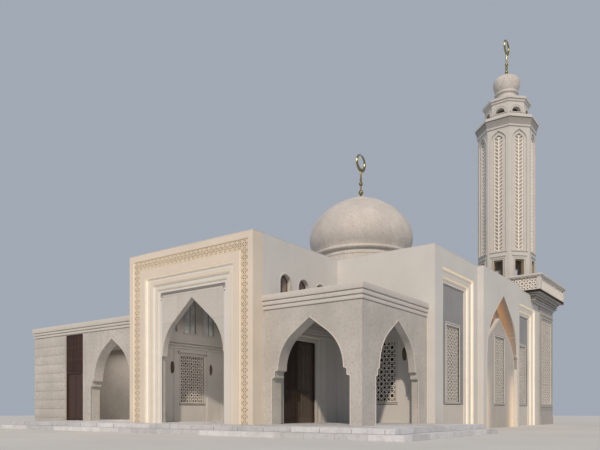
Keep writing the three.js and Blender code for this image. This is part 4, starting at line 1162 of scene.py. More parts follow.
def make_vestibule(screens):
    """Screened window, wall mouldings, pilaster strips and round-headed upper windows with lit reveals."""
    inner = PORTAL_LEFT + VESTIBULE.wall
    moulding = VESTIBULE.moulding
    place = facing(RIGHT, inner, 0)
    look = VESTIBULE_WINDOW
    shells = new_shells()
    window(shells, place, look.middle, look.half, WINDOW_SILL, look.top, screens)
    window_pieces("vestibule_window", shells, ["vestibule_window_glass"], "screen stone")
    trims, lights = Shell(), Shell()
    run = [(0.62, moulding), (6.03, moulding)]
    for rise, reach in ((0, 0.03), (0.14, 0.05), (0.28, 0.08)):
        profile = [
            (-rise, 0), (-rise, reach), (-rise - 0.02, reach + 0.012), (-rise - 0.07, reach),
            (-rise - 0.09, 0),
        ]
        trims.moulding(run, profile, place)
    for near in VESTIBULE.pilasters:
        trims.block((near - 0.11, FLOOR, 0), (near + 0.11, moulding, 0.03), place, 0.006)
        trims.block((near - 0.14, FLOOR, 0), (near + 0.14, FLOOR + 0.22, 0.045), place, 0.008)
    top = look.top
    hood = [(look.middle - 0.95, top + 0.12), (look.middle + 0.95, top + 0.12)]
    trims.moulding(hood, mm((0, 0), (0, 50), (-50, 120), (-90, 120), (-110, 0)), place)
    for angle, face, out in ((RIGHT, inner, 1), (LEFT, PORTAL_LEFT, -1), (LEFT, -0.45, -1), (RIGHT, 0, 1)):
        side = facing(angle, face, 0)
        lit = face in (inner, -0.45)
        for centre in UPPER_WINDOWS.middles:
            middle = out * centre
            path = round_path(middle, UPPER_WINDOWS.half, UPPER_WINDOWS.foot, UPPER_WINDOWS.top)
            trims.moulding(path, mm((0, -20), (0, 12), (50, 20), (80, 8), (80, -2)), side)
            sill = path[0][1]
            trims.block((middle - 0.48, sill - 0.07, -0.02), (middle + 0.48, sill, 0.04), side, 0.008)
            if lit:
                sheet = mm((-3, -60), (-3, -3), (0, -3), (0, -60))
                lights.moulding(path, sheet, side, glow=[0.4, 0.2, 0.2, 0.4])
    piece("vestibule_trims", trims, "vestibule plaster", "plaster")
    piece("vestibule_lights", lights, "strip light", "plaster")
    foot, top = UPPER_WINDOWS.foot, UPPER_WINDOWS.top
    bars = Shell()
    # The left panes' pale colour is painted daylight seen through them.
    for name, wall, finish in (("left", PORTAL_LEFT + 0.4, "painted daylight glass"), ("right", -0.225, "brown glass")):
        panes = Shell()
        side = facing(RIGHT, wall, 0)
        for centre in UPPER_WINDOWS.middles:
            path = round_path(centre, UPPER_WINDOWS.half, foot, top)
            panes.prism(path, -0.012, 0.012, side)
            for out in (0.012, -0.03):
                bars.moulding(path, [(-0.035, out), (-0.035, out + 0.018), (0, out + 0.018), (0, out)], side)
                bars.rod((centre, foot), (centre, top - 0.01), 0.024, out, out + 0.016, side)
        piece(f"upper_{name}_panes", panes, finish, "dark_glass", replaces=(f"portal_{name}_glass",))
    piece("upper_window_bars", bars, "dark brass", "brass")


def hinge_pin(shell, low, high, x, y):
    """Round pivot pin between two heights."""
    shell.turned([(0, low), (0.01, low), (0.01, high), (0, high)], x, y, 12)


def door_leaf(name, low, high, body, chooser, pull_side, hinge, finish):
    """Boarded leaf with stiles, rails, chamfered boards, studs, a long pull and its pivot pins."""
    leaf, metal = Shell(), Shell()
    stile, plank = 0.13, 0.105
    front, back = high.x, low.x
    leaf.block((back + 0.012, low.y, low.z), (front - 0.022, high.y, high.z), chamfer=0.002, tone=0.35)
    rails = (low.z, low.z + (high.z - low.z) * 0.36, high.z - 0.16)
    heights = (0.24, 0.16, 0.16)
    for side in (low.y, high.y - stile):
        board(leaf, (back, side, low.z), (front, side + stile, high.z), chooser, 0.006)
    for rail, tall in zip(rails, heights):
        start, end = (back, low.y + stile, rail), (front - 0.002, high.y - stile, rail + tall)
        board(leaf, start, end, chooser, 0.006)
        for k in range(5):
            across = low.y + stile + 0.06 + k * (high.y - low.y - 2 * stile - 0.12) / 4
            stud = facing(RIGHT, front - 0.002, across, rail + tall / 2)
            bead(metal, stud, 0, 0, 0.016, 0, 0.012)
    inner_low, inner_high = low.y + stile, high.y - stile
    count = round((inner_high - inner_low) / plank)
    wide = (inner_high - inner_low) / count
    for (foot, top) in ((rails[0] + heights[0], rails[1]), (rails[1] + heights[1], rails[2])):
        for k in range(count):
            start = inner_low + k * wide
            near, far = (back + 0.008, start + 0.0015, foot), (front - 0.014, start + wide - 0.0015, top)
            board(leaf, near, far, chooser)
    piece(name + "_boards", leaf, finish, "dark_timber", body, replaces=(name,))
    edge = low.y + 0.065 if pull_side < 0 else high.y - 0.065
    for face, out in ((front, 1), (back, -1)):
        plate = facing(RIGHT if out > 0 else LEFT, face, edge, 1.55)
        metal.block((-0.028, -0.26, 0), (0.028, 0.26, 0.004), plate, 0.0015)
    pull = facing(RIGHT, front, edge, 1.55)
    for foot in (-0.18, 0.18):
        metal.rod((-0.008, foot), (0.008, foot), 0.016, 0.004, 0.03, pull, 0.9)
    metal.rod((0, -0.22), (0, 0.22), 0.02, 0.028, 0.04, pull, 0.8)
    hinge_pin(metal, FLOOR + 0.001, low.z + 0.01, *hinge)
    hinge_pin(metal, high.z - 0.01, high.z + 0.005, *hinge)
    piece(name + "_metal", metal, "dark brass", "brass", body)


def make_double_door():
    chooser = random.Random(8)
    leaves = (
        ("front", 1, DOOR_LEAVES.front_hinge, "shaded painted timber"),
        ("back", -1, DOOR_LEAVES.back_hinge, "sunlit painted timber"),
    )
    for side, pull_side, hinge_y, finish in leaves:
        name = f"door_leaf_{side}"
        low, high = BOXES[name]
        low = Vector((DOOR_LEAVES.back, low.y, DOOR_LEAVES.foot))
        high = Vector((DOOR_LEAVES.face, high.y, DOOR_LEAVES.top))
        hinge = (DOOR_LEAVES.hinge_x, hinge_y)
        door_leaf(name, low, high, f"{side}_leaf", chooser, pull_side, hinge, finish)
    trims = Shell()
    place = facing(RIGHT, 0, 0)
    front, back, top = DOORWAY.front, DOORWAY.back, DOORWAY.top
    path = [(back, FLOOR), (back, top), (front, top), (front, FLOOR)]
    profile = mm((0, -20), (0, 12), (20, 30), (90, 30), (100, 16), (160, 16), (180, 4), (180, -2))
    trims.moulding(path, profile, place)
    lintel = [(front - 0.28, top + 0.18), (back + 0.28, top + 0.18)]
    trims.moulding(lintel, mm((0, 0), (0, 30), (-40, 75), (-90, 85), (-120, 60), (-120, 0)), place)
    for middle in (back + 0.42, back + 0.95, front - 0.42):
        trims.block((middle - 0.1, FLOOR, 0), (middle + 0.1, top + 0.18, 0.03), place, 0.008)
    piece("door_trims", trims, "trim stone", "stone")


def cornice_bands(path, levels, wall):
    """Three stone bands, each over a deep groove and reaching further out than the one below."""
    shell = Shell()
    below = 0
    for foot, top, reach in zip(levels, levels[1:], CORNICE_REACH):
        under = foot + CORNICE_GROOVE.tall
        profile = [
            (-wall, under), (reach - 0.018, under), (reach - 0.006, under + 0.006), (reach, under + 0.02),
            (reach, top - 0.03), (reach - 0.004, top - 0.008), (reach - 0.012, top), (-wall, top),
        ]
        shell.moulding(path, profile)
        back = below - CORNICE_GROOVE.deep
        shell.moulding(path, [(-wall, foot), (back, foot), (back, under), (-wall, under)])
        below = reach
    return shell


def make_porch():
    """Cornice, corbels and arch rims of the corner porch, and the mouldings over its inner door."""
    left, right, front, back = 0, PORCH.right, PORCH.front, HALL_FRONT
    deep, thin = PORCH_WALLS.front, PORCH_WALLS.side
    shell = cornice_bands([(left, front), (right, front), (right, back)], PORCH_CORNICE, thin)
    shell.block((left, front + thin, PORCH_CORNICE[0]), (right - thin, front + deep, PORCH_CORNICE[-1]))
    piece("porch_cornice_bands", shell, "trim stone", "stone", replaces=("porch_cornice",))
    corbels, rims = Shell(), Shell()
    walls = ((FRONT, 0, front, PORCH_FRONT_ARCH, deep), (RIGHT, right, 0, PORCH_SIDE_ARCH, thin))
    for angle, x, y, middle, thick in walls:
        place = facing(angle, x, y)
        corbel_curls(corbels, LOW_ARCH, place, middle, thick)
        arch_rim(rims, place, middle, LOW_ARCH)
    piece("porch_corbels", corbels, "wall stone", "stone")
    piece("porch_arch_rims", rims, "trim stone", "stone")
    shell = Shell()
    wall = facing(RIGHT, 0, 0)
    for foot, reach in PORCH_MOULDINGS:
        profile = [(0, 0), (0, reach), (-0.02, reach + 0.01), (-0.08, reach + 0.01), (-0.1, 0)]
        shell.moulding([(front + deep, foot), (back, foot)], profile, wall)
    piece("porch_wall_mouldings", shell, "trim stone", "stone")


def arch_rim(shell, place, middle, arch):
    """Fine raised edge round an arch from its jambs' feet over the point."""
    profile = mm((0, -20), (0, 6), (12, 18), (30, 18), (42, 2), (42, -20))
    shell.moulding(arch_path(arch, FLOOR, middle), profile, place)


def make_wing():
    """Cornice, corbels, arch rim and the grooved stone courses of the low wing."""
    left, front = WING.left, WING.front
    path = [(HALL_LEFT, HALL_FRONT), (left, HALL_FRONT), (left, front), (PORTAL_LEFT, front)]
    bands = cornice_bands(path, WING_CORNICE, WING.wall)
    piece("wing_cornice_bands", bands, "trim stone", "stone", replaces=("wing_cornice",))
    arch = LOW_ARCH._replace(apex=WING_ARCH.apex)
    place = facing(FRONT, 0, front)
    shell = Shell()
    corbel_curls(shell, arch, place, WING_ARCH.middle, WING.wall)
    arch_rim(shell, place, WING_ARCH.middle, arch)
    course = mm((0, 0), (0, 12), (-20, 18), (-460, 18), (-476, 12), (-476, 0))
    for row in range(1, 10):
        height = row * 0.5 + 0.012
        shell.moulding([(left + 0.06, height), (-15, height)], course, place)
    piece("wing_trims", shell, "wall stone", "stone")


def make_timber_screen():
    """Upright slats over the rail and the plain boarded door under it."""
    chooser = random.Random(3)
    left, right = TIMBER.left, TIMBER.right
    slats = Shell()
    count = round((right - left) / TIMBER.slat)
    for k in range(count):
        middle = left + (k + 0.5) * (right - left) / count
        low, high = (middle - 0.027, 1.556, TIMBER.rail), (middle + 0.027, 1.598, TIMBER.top)
        board(slats, low, high, chooser)
    for height in TIMBER.cross_rails:
        board(slats, (left, 1.57, height), (right, 1.6, height + 0.07), chooser, 0.004)
    slats.block((left - 0.02, 1.535, 2.915), (right + 0.02, 1.56, 3.005), chamfer=0.008, tone=0.2)
    piece("timber_slats", slats, "dark timber", "dark_timber")
    leaf = Shell()
    foot, top = TIMBER_DOOR.foot, TIMBER_DOOR.top
    start, end = left + 0.008, right - 0.008
    leaf.block((start, 1.612, foot), (end, TIMBER_DOOR.back, top), chamfer=0.002, tone=0.3)
    wide = (end - start) / TIMBER_DOOR.boards
    for k in range(TIMBER_DOOR.boards):
        low = (start + k * wide + 0.0015, 1.601, foot + 0.12)
        high = (start + (k + 1) * wide - 0.0015, 1.618, top - 0.12)
        board(leaf, low, high, chooser, 0.004)
    for height in (foot, top - 0.12):
        board(leaf, (start, 1.6, height), (end, 1.66, height + 0.12), chooser)
    for height in (foot + 0.6, foot + 1.7):
        board(leaf, (start + 0.02, 1.645, height), (end - 0.02, 1.66, height + 0.1), chooser, 0.004)
    piece("timber_door_boards", leaf, "dark timber", "dark_timber", "wing_leaf", replaces=("timber_door",))
    metal = Shell()
    for low, high in ((FLOOR + 0.001, foot + 0.02), (top - 0.02, top + 0.005)):
        hinge_pin(metal, low, high, TIMBER_DOOR.hinge_x, TIMBER_DOOR.hinge_y)
    ring = facing(FRONT, end - 0.09, 1.601, 1.45)
    metal.block((-0.03, -0.12, 0), (0.03, 0.12, 0.004), ring, 0.0015)
    metal.rod((-0.006, 0), (0.006, 0), 0.02, 0.004, 0.02, ring, 0.9)
    metal.rod((-0.05, -0.006), (0.02, -0.006), 0.018, 0.02, 0.03, ring, 0.8)
    piece("timber_door_metal", metal, "dark brass", "brass", "wing_leaf")


def dome_curve(inset, top_radius, steps):
    """Side of the dome from its foot to its crown."""
    look = DOME_SHELL
    widest = look.widest - inset
    start = -acos((look.foot - inset) / widest)
    end = acos(top_radius / widest)
    points = []
    for i in range(steps + 1):
        angle = start + (end - start) * i / steps
        lift = sin(angle)
        height = look.lower if lift < 0 else look.upper + look.point * lift ** 4 - inset
        points.append((widest * cos(angle), look.middle + height * lift))
    return points


def roll_ring(radius, low, high):
    """Round outer side of a ring, from its foot to its top."""
    half = (high - low) / 2
    angles = [-pi / 2 + pi * i / 12 for i in range(13)]
    return [(radius - half + half * cos(a), (low + high) / 2 + half * sin(a)) for a in angles]


def make_dome():
    """Smooth stone dome with a rounded rim, its drum, and a stepped cap under the finial."""
    x, y = DOME.x, DOME.y
    inner = DOME.drum - DOME.wall
    wide, top = DOME.drum, DOME.drum_top
    drum = [
        (inner, ROOF_TOP), (wide, ROOF_TOP), (wide, top - 0.3), (wide + 0.03, top - 0.28),
        (wide + 0.03, top - 0.18), (wide, top - 0.16), (wide, top), (inner, top),
    ]
    shell = Shell()
    shell.turned(drum, x, y, 96)
    piece("dome_drum_wall", shell, "dome stone", "stone", replaces=("dome_drum",))
    shell = Shell()
    rim = [(inner, top)] + roll_ring(DOME.rim, top, DOME.rim_top) + [(inner, DOME.rim_top)]
    shell.turned(rim, x, y, 96)
    piece("dome_rim_roll", shell, "dome stone", "stone", replaces=("dome_rim",))
    outer = dome_curve(0, DOME_CAP.radius, 40)
    lining = list(reversed(dome_curve(DOME.wall, 0.001, 20)))
    outer[0] = (outer[0][0], DOME.rim_top)
    lining[-1] = (lining[-1][0], DOME.rim_top)
    lining[0] = (0, lining[0][1])
    top = outer[-1][1]
    wide, crown = DOME_CAP.radius, DOME_CAP.top
    cap = [
        (wide + 0.02, top + 0.005), (wide + 0.02, top + 0.05), (wide - 0.02, top + 0.07),
        (wide * 0.6, crown - 0.012), (0.16, crown), (0, crown),
    ]
    shell = Shell()
    shell.turned(lining + outer + cap, x, y, 112)
    piece("dome_shell_stone", shell, "dome stone", "stone", replaces=("dome_shell",), smooth=28)


def make_finial(name, node, look, x, y):
    """Stem with balls and collars, and a crescent that thins towards its horns and its edge."""
    shell = Shell()
    stem = FINIAL_STEM
    points = [
        (0, look.foot), (0.14, look.foot), (0.14, look.foot + 0.02), (0.09, look.foot + 0.05),
        (stem, look.foot + 0.09),
    ]
    for height, radius in look.balls:
        points += [
            (stem, height - radius - 0.035), (stem * 1.5, height - radius - 0.025),
            (stem * 1.5, height - radius - 0.005),
        ]
        start = asin(min(1, stem * 1.2 / radius))
        for i in range(13):
            angle = start + (pi - 2 * start) * i / 12
            points.append((radius * sin(angle), height - radius * cos(angle)))
        points += [(stem * 1.4, height + radius + 0.01), (stem, height + radius + 0.03)]
    top = look.crescent_foot + look.crescent * 0.1
    points += [(stem * 1.3, look.crescent_foot - 0.03), (stem, top), (0, top)]
    shell.turned(points, x, y, 32)
    outer = look.crescent
    middle = look.crescent_foot + outer
    lift = outer * CRESCENT.shift
    inner = outer * CRESCENT.inner
    steps = 48
    rings = []
    for i in range(steps + 1):
        angle = CRESCENT.gap + (tau - 2 * CRESCENT.gap) * i / steps
        ou, ov = outer * sin(angle), outer * cos(angle)
        iu, iv = inner * sin(angle), lift + inner * cos(angle)
        thick = min(CRESCENT.thick, dist((ou, ov), (iu, iv)) * 0.5)
        ring = []
        for k in range(8):
            share = (1 - cos(tau * k / 8)) / 2
            ring.append((thick * sin(tau * k / 8), ou + (iu - ou) * share, ov + (iv - ov) * share))
        rings.append(ring)
    points = [(x + across, y + u, middle + v) for ring in rings for across, u, v in ring]
    faces = ring_faces(steps + 1, 8, True, False) + [list(range(8)), [steps * 8 + k for k in range(8)]]
    shell.add(points, faces)
    piece(name, shell, "polished brass", "brass", replaces=(node,), smooth=40)


def square_path(half):
    x, y = MINARET.x, MINARET.y
    return [(x - half, y - half), (x + half, y - half), (x + half, y + half), (x - half, y + half)]


def eight_path(radius):
    x, y = MINARET.x, MINARET.y
    angles = [pi / 8 + pi * k / 4 for k in range(8)]
    return [(x + radius * cos(a), y + radius * sin(a)) for a in angles]


def minaret_walls(apothem, angles):
    """Wall frames round the minaret's axis."""
    for angle in angles:
        turn = radians(angle)
        yield facing(angle, MINARET.x + apothem * cos(turn), MINARET.y + apothem * sin(turn))


def make_minaret_base(screens):
    """Screened blind panels on the outer faces, a sill, a recessed band and string courses."""
    half = MINARET.half
    x, y = MINARET.x, MINARET.y
    side_middle = (HALL_BACK + y + half) / 2
    look = MINARET_PANEL
    screen, backing, trims = Shell(), Shell(), Shell()
    faces = ((RIGHT, x + half, 0, side_middle), (LEFT, x - half, 0, -side_middle), (BACK, 0, y + half, -x))
    for angle, px, py, middle in faces:
        place = facing(angle, px, py)
        outline = rectangle(middle - look.half, middle + look.half, look.foot, look.top)
        backing.prism(outline, -look.depth, -look.depth + 0.04, place)
        origin = (middle, (look.foot + look.top) / 2)
        lattice(
            screen, outline, place, screens.period * 1.24, screens.bar * 1.3, -look.depth + 0.04,
            -look.depth + 0.05, origin,
        )
        screen.moulding(
            outline, mm((-70, -95), (-70, -30), (-55, -20), (0, -20), (0, -95)), place, closed=True,
        )
        trims.moulding(outline, mm((0, -20), (0, 20), (50, 30), (100, 12), (110, -2)), place, closed=True)
        sill = [(middle - 1.45, look.foot - 0.1), (middle + 1.45, look.foot - 0.1)]
        trims.moulding(sill, mm((0, 0), (0, 50), (30, 60), (100, 30), (100, 0)), place)
    for foot, reach in BASE_COURSES:
        tall = 0.5 if foot == 0 else 0.05
        path = [(x + half, HALL_BACK), (x + half, y + half), (x - half, y + half), (x - half, HALL_BACK)]
        profile = [
            (0, foot), (reach, foot), (reach, foot + tall - 0.01), (reach - 0.01, foot + tall),
            (0, foot + tall),
        ]
        trims.moulding(path, profile)
    piece("minaret_base_screens", screen, "painted shade screen", "stone")
    # Sheet behind the base screens, dark with painted shade for their holes.
    piece("minaret_base_backing", backing, "painted shade backing dark", "stone")
    piece("minaret_base_trims", trims, "painted shade base", "stone")


def make_balcony(screens):
    """Stepped bands and deep soffits under the deck, with corner posts, rails and pierced panels round it."""
    look = BALCONY
    shell = Shell()
    edge = look.reach - MINARET.half
    steps = [(edge - back, height) for back, height in DECK_STEPS]
    profile = [(-0.7, MINARET.base_top), *steps, (-0.7, look.floor)]
    shell.moulding(square_path(MINARET.half), profile, closed=True)
    # The deck is the minaret stone darkened: painted shade of its stepped undersides; the lips laid on it
    # stay in the plain stone.
    piece("balcony_deck", shell, "painted shade soffit", "stone", replaces=("minaret_balcony",))
    lips = Shell()
    for back, foot, top in DECK_LIPS:
        lip = [
            (edge - back - 0.02, foot), (edge - back + 0.004, foot), (edge - back + 0.004, top),
            (edge - back - 0.02, top),
        ]
        lips.moulding(square_path(MINARET.half), lip, closed=True)
    piece("balcony_lips", lips, "minaret stone", "stone")
    rail, panels, backing = Shell(), Shell(), Shell()
    outer = look.reach
    thick = BALUSTRADE.thick
    path = square_path(outer)
    reach, lap = BALUSTRADE.rail_reach, BALUSTRADE.rail_lap
    foot, top = BALUSTRADE.rail_foot, BALUSTRADE.rail_top
    inner = -thick - lap
    hand = [
        (inner, foot + 0.03), (inner + 0.02, foot), (reach - 0.05, foot), (reach - 0.05, foot + 0.05),
        (reach, foot + 0.06), (reach, top - 0.02), (reach - 0.02, top), (inner + 0.05, top),
        (inner, top - 0.04),
    ]
    rail.moulding(path, hand, closed=True)
    floor = look.floor
    kerb = floor + 0.07
    rail.moulding(
        path, [(-thick, floor), (0, floor), (0, kerb - 0.01), (-0.01, kerb), (-thick, kerb)], closed=True,
    )
    post = thick / 2 + 0.04
    for place in minaret_walls(outer, (FRONT, RIGHT, BACK, LEFT)):
        corner = -outer + thick / 2
        rail.block(
            (corner - post, floor, -thick / 2 - post), (corner + post, foot + 0.01, -thick / 2 + post), place,
            0.01,
        )
        outline = rectangle(corner + post, -corner - post, kerb - 0.005, foot + 0.01)
        origin = (0, (kerb + foot) / 2)
        lattice(panels, outline, place, screens.rail_period, screens.rail_bar, -0.045, -0.03, origin)
        backing.prism(outline, -0.09, -0.07, place)
    piece("balcony_rails", rail, "minaret stone", "stone", replaces=("minaret_balustrade",))
    # Solid back to the rail panels, painted dark for the shade behind their holes.
    piece("balcony_backing", backing, "painted shade backing brown", "stone")
    piece("balcony_panels", panels, "bright stone", "stone")


def leaf_screen(shell, outline, place, screens, back, front):
    """Pierced screen of paired leaves: a middle bar with bars that rise from it to both edges."""
    us = [u for u, v in outline]
    vs = [v for u, v in outline]
    low, high = min(vs), max(vs)
    bar = screens.shaft_bar
    shell.rod((0, low), (0, high - 0.12), bar * 1.4, back, front + 0.002, place)
    for side in (-1, 1):
        edge = side * (max(us) - bar * 0.5)
        cut = clipped((edge, low), (0, 1), outline)
        shell.rod(cut[0], cut[1], bar * 0.9, back, front + 0.001, place)
    rows = int((high - low) / screens.shaft_period) + 1
    for row in range(rows):
        height = low + row * screens.shaft_period
        for side in (-1, 1):
            cut = clipped((0, height), (side, 0.7), outline)
            if cut and height < high - 0.15:
                shell.rod((0, height), cut[1], bar, back - 0.0006, front, place)


def make_shaft(screens):
    """Leaf screens with nested arched rims, doorways with ochre jambs that glow with painted light, and the
    shaft's coved crown.
    """
    scale = cos(pi / 8)
    side = SHAFT.radius * sin(pi / 8)
    look = SHAFT_PANEL
    foot = SHAFT.foot
    rims, screen, backing, jamb_sheets = Shell(), Shell(), Shell(), Shell()
    for place in minaret_walls(SHAFT.radius * scale, EIGHT_SIDES):
        outlines = [arch_path(plain_arch(half, top), look.foot) for half, top in zip(look.halves, look.tops)]
        rims.moulding(outlines[0], mm((0, -30), (0, 12), (12, 24), (50, 24), (60, 12), (60, -30)), place)
        rims.moulding(outlines[1], mm((0, -90), (0, -45), (20, -35), (50, -45), (55, -62), (55, -90)), place)
        depth = look.depth
        backing.prism(outlines[1], -depth, -depth + 0.004, place)
        leaf_screen(screen, outlines[1], place, screens, -depth + 0.004, -depth + 0.045)
        ledge = [(-0.56, look.foot - 0.1), (0.56, look.foot - 0.1)]
        rims.moulding(ledge, mm((0, 0), (0, 20), (-30, 50), (-80, 60), (-100, 50), (-100, 0)), place)
        half, top = SHAFT_DOOR.half, SHAFT_DOOR.top
        jambs = [(half, foot), (half, top), (-half, top), (-half, foot)]
        frame_profile = mm(
            (0, -30), (0, 20), (15, 30), (60, 30), (70, 0), (90, 0), (100, 20), (140, 20), (150, 0),
        )
        rims.moulding(jambs, frame_profile, place)
        sheet = mm((-3, -300), (-3, -30), (0, -30), (0, -300))
        # Ochre sheets on the doorway jambs glow: painted light, not a lamp.
        jamb_sheets.moulding(jambs, sheet, place, glow=[0.5, 0.35, 0.35, 0.5])
        rims.moulding(
            [(-0.5, top + 0.2), (0.5, top + 0.2)], mm((0, 0), (0, 30), (-40, 60), (-80, 60), (-90, 0)), place,
        )
        for one in (-1, 1):
            ends = sorted((one * 0.44, one * (side - 0.01)))
            rims.block((ends[0], foot, 0), (ends[1], foot + 0.2, 0.035), place, 0.008)
    roll = mm((-30, -160), (-30, -120), (30, -110), (78, -90), (78, -20), (78, 0), (-30, 0))
    flare = mm((-30, 0), (75, 0), (75, 160), (168, 380), (-30, 380))
    # The band under the top slab is set back only a little; its near-black stone is painted shadow of the
    # slab.
    groove = mm((-30, 380), (166, 380), (166, 450), (-30, 450))
    band = mm((-30, 450), (185, 455), (185, 600), (165, 636), (-30, 636))
    flares, painted_shadows = Shell(), Shell()
    for part, profile in ((rims, roll), (flares, flare), (painted_shadows, groove), (rims, band)):
        raised = [(across * scale, SHAFT.top + up) for across, up in profile]
        part.moulding(eight_path(SHAFT.radius), raised, closed=True)
    # The flare under the crown is darkened stone: painted shade of its underside.
    piece("shaft_flare", flares, "painted shade soffit", "stone")
    piece("shaft_painted_shadow", painted_shadows, "painted shadow band", "stone")
    piece("shaft_rims", rims, "minaret stone", "stone")
    piece("shaft_screens", screen, "bright stone", "stone")
    # Sheet behind the leaf screens, darkened with painted shade for their holes.
    piece("shaft_backing", backing, "painted shade backing pale", "stone")
    piece("shaft_door_jambs", jamb_sheets, "ochre light", "stone")


def make_lantern():
    """Raised hoods round the small arches and grooved bands at the lantern's foot and head."""
    look = LANTERN
    shell = Shell()
    half, top = look.arch_radius, look.arch_top
    for place in minaret_walls(look.radius * cos(pi / 8), EIGHT_SIDES):
        path = round_path(0, half, look.sill, top, 20)
        for start, wide, proud in ((0, 0.09, 0.05), (0.12, 0.04, 0.03)):
            profile = [
                (start, -0.03), (start, proud - 0.01), (start + 0.01, proud), (start + wide - 0.01, proud),
                (start + wide, proud - 0.01), (start + wide, -0.002),
            ]
            shell.moulding(path, profile, place)
        shell.moulding(
            [(-0.5, look.sill - 0.05), (0.5, look.sill - 0.05)],
            mm((0, 0), (0, 30), (-20, 40), (-50, 30), (-50, 0)), place,
        )
    path = eight_path(look.radius)
    for low, high, reach in LANTERN_BANDS:
        profile = [
            (0, low), (reach - 0.02, low), (reach, low + 0.02), (reach, high - 0.02), (reach - 0.02, high),
            (0, high),
        ]
        shell.moulding(path, profile, closed=True)
    piece("lantern_trims", shell, "minaret stone", "stone")


def make_cap():
    """Neck, rounded ring and onion over the lantern."""
    look = CAP
    x, y = MINARET.x, MINARET.y
    top = LANTERN.top
    points = [
        (0, top), (look.neck + 0.12, top), (look.neck + 0.12, top + 0.05), (look.neck + 0.03, top + 0.09),
        (look.neck, top + 0.14), (look.neck, look.ring_foot - 0.02),
    ]
    points += roll_ring(look.ring, look.ring_foot, look.ring_top)
    start = -acos(look.neck / look.widest)
    drop = (look.middle - look.ring_top) / sin(-start)
    steps = 34
    for i in range(steps + 1):
        angle = start + (pi / 2 - start) * i / steps
        lift = drop if angle < 0 else look.top - look.middle
        points.append((max(look.widest * cos(angle), 0), look.middle + lift * sin(angle)))
    points[-1] = (0, look.top)
    shell = Shell()
    shell.turned(points, x, y, 64)
    piece("cap_onion", shell, "dome stone", "stone", replaces=("minaret_cap",), smooth=30)


def lamp_spot(half, radius, swing, across):
    """Point on a lamp's oval: swing runs from its foot to its top, across from side to side."""
    reach = radius * sin(swing)
    return Vector((reach * cos(across), -half * cos(swing), 0.004 + reach * sin(across)))


def wall_lamp(metal, glass, place, length, radius):
    """Oval lantern: a ribbed cage round a lit glass, held by two arms on a back plate."""
    half = length / 2
    sides = 12
    arcs = 10
    for k in range(7):
        across = pi * k / 6
        rib = [lamp_spot(half, radius * 0.95, pi * i / arcs, across) for i in range(arcs + 1)]
        for one, two in zip(rib, rib[1:]):
            bar(metal, place, one, two, 0.007)
    for level in (-0.55, 0, 0.55):
        ring = [lamp_spot(half, radius * 0.96, acos(-level), pi * i / sides) for i in range(sides + 1)]
        for one, two in zip(ring, ring[1:]):
            bar(metal, place, one, two, 0.008)
    metal.block((-0.05, -half, 0), (0.05, half, 0.012), place, 0.004)
    for level in (-0.7 * half, 0.7 * half):
        metal.block((-0.012, level - 0.012, 0), (0.012, level + 0.012, radius * 0.6), place, 0.003)
    rings, rows = 12, 9
    points = []
    for i in range(rows):
        swing = pi * (i + 1) / (rows + 1)
        reach = radius * 0.8 * sin(swing)
        for k in range(rings):
            across = pi * k / (rings - 1)
            height = -half * 0.86 * cos(swing)
            points.append((reach * cos(across), height, 0.014 + reach * sin(across) * 0.9))
    ends = [list(range(rings)), [(rows - 1) * rings + k for k in range(rings)]]
    glass.add(points, ring_faces(rows, rings, True, False) + ends, place, 0.6)


def bar(shell, place, start, end, width):
    """Square bar between any two points."""
    run = (end - start).normalized()
    side = run.cross(Vector((0.31, 0.17, 0.93))).normalized() * width / 2
    lift = run.cross(side).normalized() * width / 2
    points = [
        spot + a * side + b * lift for spot in (start, end) for a, b in ((1, 1), (-1, 1), (-1, -1), (1, -1))
    ]
    shell.add(points, BAR_FACES, place)


def make_lamps():
    groups = (
        ("porch_lamp", facing(FRONT, 0, HALL_FRONT), ((1.13, 3.36), (3.46, 3.36))),
        ("vestibule_lamp", facing(RIGHT, PORTAL_LEFT + VESTIBULE.wall, 0), ((2.15, 3), (4.75, 3))),
    )
    for name, place, spots in groups:
        for i, (u, v) in enumerate(spots):
            metal, glass = Shell(), Shell()
            wall_lamp(metal, glass, place @ Matrix.Translation((u, v, 0)), 0.56, 0.11)
            piece(f"{name}_cage_{i + 1}", metal, "dark brass", "brass", replaces=(f"{name}_{i + 1}",))
            piece(f"{name}_glass_{i + 1}", glass, "lamp light", "dark_glass")


def make_copings():
    """Thin stone copings on the parapets of the hall and the portal."""
    shell = Shell()
    top = PARAPET
    profile = [
        (-0.42, top - 0.002), (0, top - 0.002), (0, top + 0.03), (-0.02, top + 0.04), (-0.4, top + 0.055),
        (-0.42, top + 0.045),
    ]
    left, right, back = HALL_LEFT, HALL_RIGHT, HALL_BACK
    near, far = BAY_PARAPET
    out = BAY_PROJECTION
    hall = [
        (left, HALL_FRONT), (right, HALL_FRONT), (right, near), (right + out, near), (right + out, far),
        (right, far), (right, back), (left, back), (left, far), (left - out, far), (left - out, near),
        (left, near),
    ]
    shell.moulding(hall, profile, closed=True)
    portal = [(PORTAL_LEFT, 0), (0, 0), (0, HALL_FRONT - 0.01), (PORTAL_LEFT, HALL_FRONT - 0.01)]
    shell.moulding(portal, profile, closed=True)
    piece("parapet_copings", shell, "trim stone", "stone")


CAMERA = Sizes(lens=36.18, sensor=36, shift=0.309, spot=(15.305, -17.744, 0.91), turn=36.304)
ROOM_LIGHTS = (
    ("vestibule_light", (-3.7, 3.4, 5.4), (4, 3), 1.15),
    ("wing_light", (-12.5, 3.8, 4.4), (8, 2), 2.2),
)
FLOOR_HALF = 80


